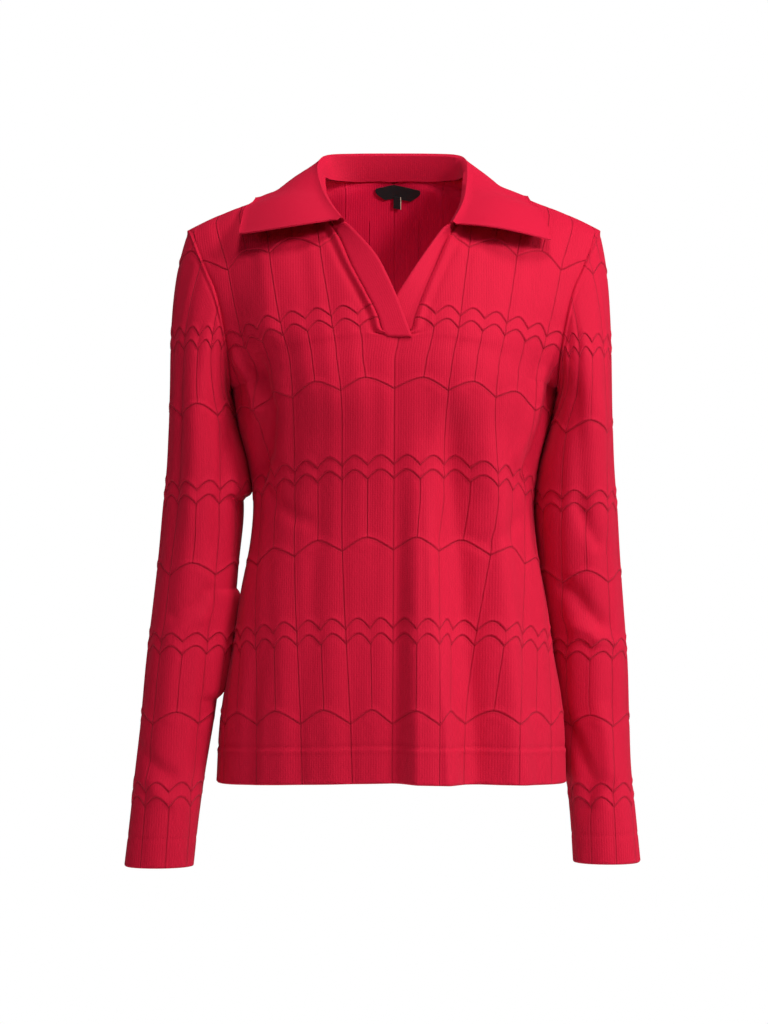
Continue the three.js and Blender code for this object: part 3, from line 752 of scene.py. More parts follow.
@dataclass(frozen=True)
class Lean:
    """How the slit leans to the wearer's left, and the body below it hangs to the right."""

    slit: float = 4.0
    reach: float = 120.0  # from the centre to where the slit's lean has faded out
    start: tuple[float, float] = (-190, -166)
    end: tuple[float, float] = (-150, -90)
    slope: float = 0.006
    below: float = -200.0

    def aside(self, x: Array, z: Array) -> Array:
        """Returns how far the body is moved towards the wearer's left."""
        near = np.maximum(0, 1 - np.abs(x) / self.reach) ** 2
        lean = self.slit * ramp(*self.start, z) * (1 - ramp(*self.end, z)) * near
        return lean + self.slope * np.minimum(0, z - self.below)


def hang(points: Array) -> Array:
    """Moves points of the worn body sideways, and out over the bust and along the drape."""
    x, y, z = np.moveaxis(points, -1, 0)
    out = np.where(y < 0, Drape().out(x, z) + Bust().fills(x, z), 0)
    return np.stack([x + Lean().aside(x, z), y - out, z], -1)


class PanelLoft:
    """The smooth surface through the sections of a panel."""

    def __init__(self, sections: tuple[Section, ...], open_row: int) -> None:
        """Takes the sections, and the row up to which both halves meet on the centre line."""
        table = np.array([[s.inner, s.leave, s.arrive, s.outer] for s in sections], float)
        inner, leave, arrive, outer = table.transpose(1, 0, 2)
        self.lines = (inner, inner + leave, outer - arrive, outer)
        self.open_row = open_row
        self.last = len(sections) - 1

    def point(self, t: Array, s: Array) -> Array:
        """Returns the points of the half on the wearer's left.

        Args:
            t: A row place for each row, counted in sections.
            s: Shares of the way outwards, rows by columns.

        Returns:
            The points, rows by columns.
        """
        inner, leave, arrive, outer = (along(line, t) for line in self.lines)
        inner[:, 0] = np.where(t <= self.open_row, 0, np.maximum(inner[:, 0], 0))
        side_seam = along(self.lines[3][:ARMPIT_ROW + 1], np.minimum(t, ARMPIT_ROW))
        outer = np.where(t[:, None] < ARMPIT_ROW, side_seam, outer)
        return cubic(s[..., None], [line[:, None] for line in (inner, leave, arrive, outer)])

    def side(self, side: int, t: Array, s: Array) -> Array:
        """Returns the points of the half on one side, as the body hangs."""
        return hang(self.point(t, s) * np.array([side, 1, 1]))

    def rows_between(self, start: float, end: float, shares: tuple[float, ...]) -> Array:
        """Spaces rows about a cell apart.

        Args:
            start: The first row's place, counted in sections.
            end: The last row's place.
            shares: Of the way outwards, where the curves are that the spacing is measured on.

        Returns:
            A place for each row.
        """
        t = np.linspace(start, end, 300)
        run = lengths_along(self.point(t, np.tile(shares, (300, 1))), 0).mean(1)
        return np.interp(np.linspace(0, run[-1], math.ceil(run[-1] / CELL) + 1), run, t)


@dataclass
class Half:
    """One half of a panel, before its relief: rows from the hem up, columns from the centre out."""

    side: int
    t: Array
    points: Array
    normals: Array
    arc: Array  # along the row from the centre line
    inward: Array  # along the row from the half's inner edge
    outward: Array  # and from its outer edge
    climb: Array  # up the cloth from the hem
    level: Array  # the height of each point before it has creases


@dataclass
class Panel:
    """The front or the back of the body."""

    part: Part
    sections: tuple[Section, ...]
    open_row: int  # the section above which the halves part
    columns: int = 118
    samples: int = 81  # along a section, to space the columns by

    def __post_init__(self) -> None:
        """Lofts both halves of the panel."""
        self.loft = PanelLoft(self.sections, self.open_row)
        lower = self.loft.rows_between(0, ARMPIT_ROW, (1.0,))
        middle = self.loft.rows_between(ARMPIT_ROW, self.open_row, (0.0, 0.5, 1.0))
        upper = self.loft.rows_between(self.open_row, self.loft.last, (0.0, 0.5, 1.0))
        top = self.loft.last - np.array([1.4, 0.6, 0]) / CELL * (self.loft.last - upper[-2])
        self.t = np.concatenate([lower, middle[1:], upper[1:-2], top])
        self.joined_rows = int(np.searchsorted(self.t, self.open_row)) + 1
        self.armhole_row = int(np.searchsorted(self.t, ARMPIT_ROW))
        self.halves = {side: self.half(side) for side in (-1, 1)}

    def half(self, side: int) -> Half:
        """Lofts one half with evenly spaced columns.

        Args:
            side: 1 for the half on the wearer's left, or -1.

        Returns:
            The half, with no creases yet.
        """
        shares = np.tile(np.linspace(0, 1, self.samples), (len(self.t), 1))
        run = lengths_along(self.loft.side(side, self.t, shares), 1)
        places = np.array([edge_places(row[-1], self.columns) for row in run])
        s = np.array([np.interp(place, row, shares[0]) for place, row in zip(places, run)])
        points = self.smooth(self.loft.side(side, self.t, s))
        level = self.smooth(self.loft.point(self.t, s))
        arc = side * (lengths_along(level, 1) + level[:, :1, 0])
        return Half(side, self.t, points, self.out_normals(points, side), arc, places,
                    run[:, -1:] - places, lengths_along(points, 0), points[..., 2].copy())

    def smooth(self, points: Array) -> Array:
        """Softens the turn that the columns take at the bottom of the slit."""
        if self.part is Part.FRONT:
            share = bell(self.t - self.loft.open_row, 0.8)[1:-1, None, None]
            for _ in range(SMOOTHINGS):
                points[1:-1] += (points[:-2] + points[2:] - 2 * points[1:-1]) * share / 4
        return points

    def out_normals(self, points: Array, side: int) -> Array:
        """Returns the outward normals of a half's points."""
        return grid_normals(points) * (side if self.part is Part.FRONT else -side)

    def join_centre(self) -> None:
        """Gives both halves the same points and normals where they meet on the centre line."""
        left, right = self.halves[1], self.halves[-1]
        rows = slice(0, self.joined_rows)
        centre = (left.points[rows, 0] + right.points[rows, 0]) / 2
        left.points[rows, 0] = right.points[rows, 0] = centre
        for half in (left, right):
            half.normals = self.out_normals(half.points, half.side)
        mean = unit(left.normals[rows, 0] + right.normals[rows, 0])
        left.normals[rows, 0] = right.normals[rows, 0] = mean


@dataclass(frozen=True)
class Tuck:
    """Extra cloth that is taken up between two places across the front, by height."""

    start: float
    end: float
    extra: Heights

    def taken(self, arc: Array, z: Array) -> Array:
        """Returns the millimetres of cloth taken up on the way from the centre to a place."""
        way = 1 if self.end > 0 else -1
        share = ramp(way * self.start, way * self.end, way * arc)
        return way * share * by_height(self.extra, z)


@dataclass(frozen=True)
class BodyCourses:
    """Where the chart lies on the body."""

    # the waves at the centre front and back, from the lowest single one up
    heights: tuple[float, ...] = (-531.2, -448.4, -367.5, -293.6, -216.0, -151.0, -77.0, -6.0)
    back_heights: tuple[float, ...] = (-536, -459, -389, -315, -241, -174, -107, -33.6)
    # how far they drop 150 mm from the centre, by height
    drop: Heights = ((-587, 0), (-531, 4), (-448, 9), (-367, 17), (-294, 16),
                                             (-216, 19), (-151, 16.5), (-60, 18))
    # how far the ribs spread beside the slit, by height
    spread: Heights = ((-240, 0), (-214, 1.5), (-77, 22), (-5, 33))
    tucks: tuple[Tuck, ...] = (
        Tuck(0, 38, ((-360, 5), (-320, 0))),
        Tuck(44, 62, ((-560, 24), (-531, 23), (-448, 13), (-367, 1), (-350, 0))),
        Tuck(0, -34, ((-587, 12), (-531, 10), (-415, 3), (-350, 0))),
    )

    def chart(self, half: Half, front: bool) -> Array:
        """Lays the chart on a half.

        Args:
            half: The half.
            front: Whether it is the front's.

        Returns:
            The chart's numbers across and up at each point.
        """
        z = half.level
        across = half.arc
        v = course_at(self.back_heights, 0.0, z)
        if front:
            share = np.minimum(np.abs(half.arc) / 150, 1.15) ** 2.3
            v = course_at(self.heights, 0.0, z + by_height(self.drop, z) * share)
            across = across + sum(tuck.taken(half.arc, z) for tuck in self.tucks)
            spread = by_height(self.spread, z) * ramp(0, 35, np.abs(half.arc))
            across = across - half.side * spread
        return np.stack([across / CHART.rib, v], -1)


@dataclass
class Body:
    """The front and back, with what is common to them."""

    courses: BodyCourses = BodyCourses()
    edge: Bead = Bead(-0.75, 0, 1.5)
    slit_welt: tuple[Bead, ...] = (Bead(2.6, 3.6, 3.0), Bead(-1.8, 10.5, 3.6))
    hem_line: tuple[Bead, ...] = (Bead(-0.7, 1.4, 1.9), Bead(0.6, -2.2, 2.2))

    def __post_init__(self) -> None:
        """Lofts both panels and folds their creases."""
        self.front = Panel(Part.FRONT, FRONT_ROWS, SLIT_ROW)
        self.back = Panel(Part.BACK, BACK_ROWS, BACK_NECK_ROW)
        for panel in (self.front, self.back):
            panel.join_centre()
        self.fold_creases()
        self.match_seams()

    def panels(self) -> tuple[Panel, Panel]:
        """Returns both panels."""
        return self.front, self.back

    def on_cloth(self, crease: Crease) -> Array:
        """Puts the line of a crease on the cloth.

        Args:
            crease: The crease.

        Returns:
            The line, on the panel that the crease names.
        """
        panel = self.front if crease.part is Part.FRONT else self.back
        cloth = np.concatenate([half.points.reshape(-1, 3) for half in panel.halves.values()])
        line = []
        for x, z in crease.line:
            near = cloth[np.argmin((cloth[:, 0] - x) ** 2 + (cloth[:, 2] - z) ** 2)]
            line.append((near[0], near[1], z))
        return np.array(line)

    def fold_creases(self) -> None:
        """Moves the cloth out and in along the body's creases."""
        lines = [(c, self.on_cloth(c)) for c in CREASES if c.part in (Part.FRONT, Part.BACK)]
        for panel in self.panels():
            for half in panel.halves.values():
                move = sum(crease.amount(half.points, line) for crease, line in lines)
                below = np.maximum(half.climb[panel.armhole_row] - half.climb, 0)
                free = ramp(0, 14, np.hypot(half.outward, below))
                half.points = half.points + half.normals * (move * free)[..., None]
            panel.join_centre()

    def match_seams(self) -> None:
        """Makes the panels meet exactly along the side seams, and gives them the same normals there, along
        the shoulder seams and on the centre line.
        """
        for side in (-1, 1):
            one, other = self.front.halves[side], self.back.halves[side]
            rows = slice(0, self.front.armhole_row + 1)
            middle = (one.points[rows, -1] + other.points[rows, -1]) / 2
            for half in (one, other):
                move = (middle - half.points[rows, -1])[:, None]
                half.points[rows] += move * bell(half.outward[rows], 12)[..., None]
            for half, panel in ((one, self.front), (other, self.back)):
                half.normals = panel.out_normals(half.points, side)
            mean = unit(one.normals[rows, -1] + other.normals[rows, -1])
            one.normals[rows, -1] = other.normals[rows, -1] = mean
            top = unit(one.normals[-1] + other.normals[-1])
            one.normals[-1] = other.normals[-1] = top
        for panel in self.panels():
            left, right = panel.halves[1], panel.halves[-1]
            rows = slice(0, panel.joined_rows)
            mean = unit(left.normals[rows, 0] + right.normals[rows, 0])
            left.normals[rows, 0] = right.normals[rows, 0] = mean

    def armhole(self, side: int) -> tuple[Array, int]:
        """Follows an armhole from its bottom up the front to the shoulder and down the back.

        Args:
            side: 1 for the wearer's left, or -1.

        Returns:
            The points, which end where they start, and the number of the one at the top.
        """
        up = self.front.halves[side].points[self.front.armhole_row:, -1]
        down = self.back.halves[side].points[self.back.armhole_row:, -1][::-1]
        return np.concatenate([up, down[1:]]), len(up) - 1

    def armhole_normals(self, side: int) -> Array:
        """Returns the panels' normals at the points round an armhole."""
        up = self.front.halves[side].normals[self.front.armhole_row:, -1]
        down = self.back.halves[side].normals[self.back.armhole_row:, -1][::-1]
        return np.concatenate([up, down[1:]])

    def lean_normals(self, side: int, seam: Array) -> None:
        """Leans the panels' normals over to those of the seam near an armhole.

        Args:
            side: 1 for the wearer's left, or -1.
            seam: The normals at the points round the armhole.
        """
        top = len(self.front.t) - self.front.armhole_row
        for panel, normals in ((self.front, seam[:top]), (self.back, seam[top - 1:][::-1])):
            half, rows = panel.halves[side], slice(panel.armhole_row, None)
            share = bell(half.outward[rows], 7)[..., None]
            half.normals[rows] = unit(half.normals[rows] * (1 - share) + normals[:, None] * share)

    def relief(self, half: Half, panel: Panel, chart: Array) -> Array:
        """Works out the relief of a half.

        Args:
            half: The half.
            panel: Its panel.
            chart: The chart's numbers.

        Returns:
            How far its right side stands out from its loft.
        """
        to_top = half.climb[-1] - half.climb
        edge = np.minimum(half.outward, to_top)
        opened = half.t[:, None] > panel.loft.open_row
        edge = np.where(opened, np.minimum(edge, half.inward), edge)
        height = CHART.relief(chart[..., 0], chart[..., 1]) * ramp(0.5, 7, edge) + self.edge.out(edge)
        if panel is self.front:
            in_slit = ramp(SLIT_ROW, SLIT_ROW + 0.8, half.t)[:, None] * (1.0 if half.side < 0 else 0.5)
            height = height + in_slit * beads(half.inward, self.slit_welt)
        above_turn = half.points[..., 2] - half.points[:1, :, 2] - HEM_TURN
        return height + beads(above_turn, self.hem_line)

    def patch(self, panel: Panel, side: int) -> Patch:
        """Puts the relief and the turned-up hem on one half.

        Args:
            panel: The panel.
            side: Which half of it.

        Returns:
            The half's patch.
        """
        half = panel.halves[side]
        chart = self.courses.chart(half, panel is self.front)
        stitch = np.stack([half.arc, half.climb], -1)
        points = half.points + half.normals * self.relief(half, panel, chart)[..., None]
        points = self.draw_back(points, panel)
        return turned_patch(points, half.points, half.normals, chart, stitch, half.climb.mean(1), HEM_TURN)

    @staticmethod
    def draw_back(points: Array, panel: Panel) -> Array:
        """Draws the edges of a half back from their seams.

        Args:
            points: The points of its right side.
            panel: Its panel.

        Returns:
            The points, moved.
        """
        points = points.copy()
        points[:, -1] += DRAWN_BACK * unit(points[:, -2] - points[:, -1])
        points[-1] += DRAWN_BACK * unit(points[-2] - points[-1])
        rows = slice(panel.joined_rows, None)
        points[rows, 0] += DRAWN_BACK * unit(points[rows, 1] - points[rows, 0])
        return points

    def make(self, panel: Panel) -> bpy.types.Object:
        """Makes one panel.

        Args:
            panel: The panel.

        Returns:
            The piece.
        """
        wall = Wall(panel.part.value, CLOTH)
        front = panel.part is Part.FRONT
        joined = panel.joined_rows + len(TURN_SHARES) + len(FOLD_DEGREES)
        to = wall.add_patch(self.patch(panel, -1), turned=front, joined_rows=joined)
        wall.add_patch(self.patch(panel, 1), turned=not front, joined_rows=joined, to=to)
        return wall.make()


def turned_patch(points: Array, base: Array, normals: Array, chart: Array, stitch: Array,
                 climb: Array, turn: float) -> Patch:
    """Adds the layer turned up inside a hem or cuff below the first row of a grid.

    Args:
        points: The right side, with its relief.
        base: The right side without it.
        normals: The outward normals.
        chart: The chart's numbers.
        stitch: Millimetres across and up.
        climb: How far up the cloth each row lies.
        turn: Height of the turned layer.

    Returns:
        The patch, whose first rows are the turned layer and the fold.
    """
    rows, row_normals, charts, stitches = [], [], [], []
    for k in (int(np.searchsorted(climb, share * turn)) for share in TURN_SHARES):
        rows.append(base[k] - 2 * FOLD_RADIUS * normals[k])
        row_normals.append(-normals[k])
        charts.append(chart[k])
        stitches.append(stitch[k])
    down = np.array([0, 0, -1.0])
    for degrees in FOLD_DEGREES:
        angle = math.radians(degrees)
        bulge = normals[0] * (math.cos(angle) - 1) + down * math.sin(angle)
        rows.append(base[0] + bulge * FOLD_RADIUS)
        row_normals.append(unit(normals[0] * math.cos(angle) + down * math.sin(angle)))
        charts.append(chart[0])
        stitches.append(stitch[0] - np.array([0, FOLD_RADIUS * angle]))
    made = [np.concatenate([np.array(extra), rest]) for extra, rest in
            ((rows, points), (row_normals, normals), (charts, chart), (stitches, stitch))]
    fine = len(rows) + 1
    return Patch(*made, kept_places(len(made[0]), fine), kept_places(made[0].shape[1]))


# ---------------------------------------------------------------------------------------------------
# The sleeves


@dataclass(frozen=True)
class Ring:
    """A section of a sleeve: its height, its edge nearest to the body and its outer edge in x, and the
    middle and half depth in y."""

    z: float
    near: float
    far: float
    y: float
    depth: float


@dataclass(frozen=True)
class SleeveSizes:
    """The sizes of one sleeve."""

    part: Part
    side: int
    rings: tuple[Ring, ...]
    head: dict[str, Place]  # how the head leaves the armhole at its top, front, bottom and back
    waves: tuple[float, ...]  # heights of the waves, from the lowest single one up
    rib_offset: Heights  # from the outer line forward to a full rib, by height
    touching: Heights  # how closely it lies on the body, from 0 to 1, by height


SLEEVES = (
    SleeveSizes(
        Part.SLEEVE_LEFT, 1,
        (Ring(-252, 153, 212, 6, 62), Ring(-290, 142.5, 214, 12, 60), Ring(-330, 136.5, 217.5, 19, 56.5),
         Ring(-375, 138, 220.5, 26, 53), Ring(-425, 145, 224.5, 32, 49), Ring(-478, 153, 228.5, 35, 45),
         Ring(-530, 160.5, 230, 34, 41), Ring(-580, 167, 231.5, 30, 37.5), Ring(-628, 172, 236, 25, 34),
         Ring(-671, 174.5, 240, 20, 31)),
        {"top": (0.26, 0, -0.97), "front": (0.42, -0.22, -0.88), "bottom": (0.12, 0, -1),
         "back": (0.4, 0.2, -0.9)},
        (-702.0, -610.4, -539.6, -468.7, -399.7, -325.0, -256.0, -176.5, -102.8),
        ((-670, 42), (-480, 42), (-250, 45)),
        ((-570, 0), (-545, 1), (-224, 1), (-212, 0)),
    ),
    SleeveSizes(
        Part.SLEEVE_RIGHT, -1,
        (Ring(-252, -155, -218.5, 2, 62), Ring(-290, -149, -220.5, 3, 60), Ring(-330, -146, -224.5, 4, 56.5),
         Ring(-375, -150, -228.5, 4, 53), Ring(-425, -155, -234, 1, 49), Ring(-478, -166.5, -240, -4, 45),
         Ring(-530, -173.5, -244.5, -9, 41), Ring(-580, -182, -250, -14, 37.5),
         Ring(-628, -188.5, -255, -18, 34), Ring(-671, -193, -260, -21, 31)),
        {"top": (-0.36, 0, -0.93), "front": (-0.36, -0.22, -0.91), "bottom": (-0.12, 0, -1),
         "back": (-0.36, 0.2, -0.91)},
        (-702.0, -606.6, -534.8, -462.0, -392.0, -317.3, -239.7, -169.8, -92.2),
        ((-670, 33), (-550, 34), (-250, 52)),
        ((-512, 0), (-500, 1), (-418, 1), (-406, 0), (-318, 0), (-307, 1), (-224, 1), (-212, 0)),
    ),
)


@dataclass
class Sleeve:
    """One sleeve, whose columns start at the points round the armhole."""

    sizes: SleeveSizes
    body: Body
    head_rows: int = 78
    stretch: float = 1.03  # of a cell lengthwise, against one of the body
    armhole_seam: tuple[Bead, ...] = (Bead(1.1, 2.8, 1.7), Bead(-0.5, 6.5, 1.6), Bead(-0.75, 0, 1.0))
    underarm_seam: Bead = Bead(-0.35, 0, 1.5)
    cuff_line: Bead = Bead(-0.4, 1, 1.9)

    def __post_init__(self) -> None:
        """Lofts the sleeve from its armhole to its cuff."""
        sizes, body = self.sizes, self.body
        self.hole, self.top = body.armhole(sizes.side)
        run = lengths_along(self.hole, 0)
        up, down = run[self.top], run[-1] - run[self.top]
        self.angles = np.where(run <= up, np.pi * run / up, np.pi * (1 + (run - up) / down))
        self.middles = np.array([[(r.near + r.far) / 2, r.y, r.z] for r in sizes.rings])
        self.halves = np.array([[(r.far - r.near) / 2, r.depth] for r in sizes.rings])
        self.points = np.concatenate([self.head(), self.tube()])
        self.fold_creases()
        self.lie_on(body)
        self.normals = grid_normals(self.points, closed=True) * -sizes.side
        self.share_normals(body)

    def ring(self, t: Array) -> Array:
        """Follows the rings.

        Args:
            t: Places down the sleeve, counted in rings.

        Returns:
            The points there, rows by columns.
        """
        middle, half = along(self.middles, t)[:, None], along(self.halves, t)[:, None]
        around = np.stack([-np.cos(self.angles), -np.sin(self.angles)], -1)[None] * half
        return middle + np.concatenate([around, np.zeros(around.shape[:2] + (1,))], -1)

    def head(self) -> Array:
        """Lofts the sleeve's head.

        Returns:
            The rows from the armhole down to the first ring.
        """
        c, s = np.cos(self.angles)[:, None], np.sin(self.angles)[:, None]
        head = {place: np.array(way, float) for place, way in self.sizes.head.items()}
        leaving = np.where(c > 0, head["bottom"], head["top"]) * c**2
        leaving = unit(leaving + np.where(s > 0, head["front"], head["back"]) * s**2)
        end = self.ring(np.array([0.0]))[0]
        onward = unit(self.ring(np.array([0.25]))[0] - end)
        long = np.linalg.norm(end - self.hole, axis=-1, keepdims=True)
        f = (np.arange(self.head_rows) / self.head_rows)[:, None, None]
        return cubic(f, [self.hole, self.hole + leaving * long / 3, end - onward * long / 3, end])

    def tube(self) -> Array:
        """Lofts the rest of the sleeve.

        Returns:
            The rows from the first ring to the cuff.
        """
        last = len(self.middles) - 1
        t = np.linspace(0, last, 500)
        run = lengths_along(along(self.middles, t), 0)
        rows = math.ceil(run[-1] / (CELL * self.stretch))
        return self.ring(np.interp(np.linspace(0, run[-1], rows + 1), run, t))

    def fold_creases(self) -> None:
        """Moves the cloth out and in along the sleeve's creases, which fade at the armhole."""
        normals = grid_normals(self.points, closed=True) * (-1 if self.sizes.side > 0 else 1)
        cloth, cloth_normals = self.points.reshape(-1, 3), normals.reshape(-1, 3)
        free = ramp(0, 20, lengths_along(self.points, 0))
        for crease in CREASES:
            if crease.part is self.sizes.part:
                facing = cloth[(cloth_normals[:, 1] < 0) != crease.behind]
                line = [facing[np.argmin((facing[:, 0] - x) ** 2 + (facing[:, 2] - z) ** 2)]
                        for x, z in crease.line]
                move = crease.amount(self.points, np.array(line)) * free
                self.points = self.points + normals * move[..., None]

    def share_normals(self, body: Body) -> None:
        """Gives the sleeve and the panels the same normals along the armhole.

        Args:
            body: The body.
        """
        mean = unit(self.normals[0] + body.armhole_normals(self.sizes.side))
        body.lean_normals(self.sizes.side, mean)
        share = bell(lengths_along(self.points, 0), 7)[..., None]
        self.normals = unit(self.normals * (1 - share) + mean * share)

    def lie_on(self, body: Body) -> None:
        """Moves the side nearest to the body up to it where the sleeve touches it.

        Args:
            body: The body.
        """
        edge = body.front.halves[self.sizes.side].points[:body.front.armhole_row, -1]
        z = self.points[..., 2]
        beside = np.interp(z, edge[:, 2], edge[:, 0]) * self.sizes.side
        share = by_height(self.sizes.touching, z) * np.maximum(np.cos(self.angles), 0) ** 2
        for _ in range(3):
            nearest = (self.points[..., 0] * self.sizes.side).min(1, keepdims=True)
            gap = np.maximum(nearest - beside - SLEEVE_CLEAR, 0)
            self.points[..., 0] -= self.sizes.side * gap * share

    def coordinates(self) -> tuple[Array, Array]:
        """Lays the chart and the stitches on the sleeve.

        Returns:
            The chart's numbers and the stitch millimetres at each point.
        """
        around = lengths_along(self.points, 1)
        arc = around[:, self.top:self.top + 1] - around
        z = self.points[..., 2]
        u = (arc - by_height(self.sizes.rib_offset, z)) / CHART.rib
        v = course_at(self.sizes.waves, -1.0, z)
        return np.stack([u, v], -1), np.stack([arc, -lengths_along(self.points, 0)], -1)

    def relief(self, chart: Array) -> Array:
        """Works out the sleeve's relief.

        Args:
            chart: The chart's numbers.

        Returns:
            How far the right side stands out from the loft.
        """
        around = lengths_along(self.points, 1)
        underarm = np.minimum(around, around[:, -1:] - around)
        down = lengths_along(self.points, 0)
        from_cuff = lengths_along(self.points[::-1], 0)[::-1] - CUFF_TURN
        height = CHART.relief(chart[..., 0], chart[..., 1]) * ramp(3, 12, np.minimum(down, underarm + 3))
        seams = beads(down, self.armhole_seam) + self.underarm_seam.out(underarm)
        return height + seams + self.cuff_line.out(from_cuff)

    def make(self) -> bpy.types.Object:
        """Makes the sleeve, from its turned cuff up to the armhole.

        Returns:
            The piece.
        """
        chart, stitch = self.coordinates()
        points = self.points + self.normals * self.relief(chart)[..., None]
        points[0] += DRAWN_BACK * unit(points[1] - points[0])
        from_cuff = lengths_along(self.points[::-1], 0).mean(1)
        upward = (grid[::-1] for grid in (points, self.points, self.normals, chart, stitch))
        patch = turned_patch(*upward, from_cuff, CUFF_TURN)
        return one_patch_wall(self.sizes.part.value, CLOTH, patch, turned=self.sizes.side < 0, closed=True)


# ---------------------------------------------------------------------------------------------------
# The collar


@dataclass(frozen=True)
class CollarSection:
    """A section of the collar: the share of the half neck edge where it is sewn, the neck side of the
    top of its stand, and the outer edge of its fall."""

    at: float
    roll: Place
    edge: Place


LEFT_COLLAR = (
    CollarSection(0, (53, -81, -60), (148, -57, -73)),
    CollarSection(0.1, (60, -62, -47), (145, -34, -54)),
    CollarSection(0.23, (64.5, -41, -35), (140, -15, -41)),
    CollarSection(0.37, (67, -15, -21), (129, 3, -37)),
    CollarSection(0.51, (68.5, 11, -4), (124, 24, -35)),
    CollarSection(0.62, (67.5, 31, 9), (117, 47, -38)),
    CollarSection(0.71, (60, 42, 15), (96, 68, -44)),
    CollarSection(0.83, (38, 50, 17), (54, 85, -50)),
    CollarSection(1, (0, 53, 17.5), (0, 92, -52)),
)
RIGHT_COLLAR = (
    CollarSection(0, (-48, -81, -56), (-147, -58, -67)),
    CollarSection(0.1, (-56, -62, -45), (-145, -34, -51)),
    CollarSection(0.23, (-62.5, -41, -34), (-142, -13, -38)),
    CollarSection(0.37, (-68, -15, -20), (-133, 4, -35)),
    CollarSection(0.51, (-72, 11, -2.5), (-129, 25, -34)),
    CollarSection(0.62, (-70, 31, 8.5), (-121, 48, -36)),
    CollarSection(0.71, (-63, 42, 15), (-97, 69, -44)),
    CollarSection(0.83, (-39, 50, 17), (-55, 85, -50)),
)


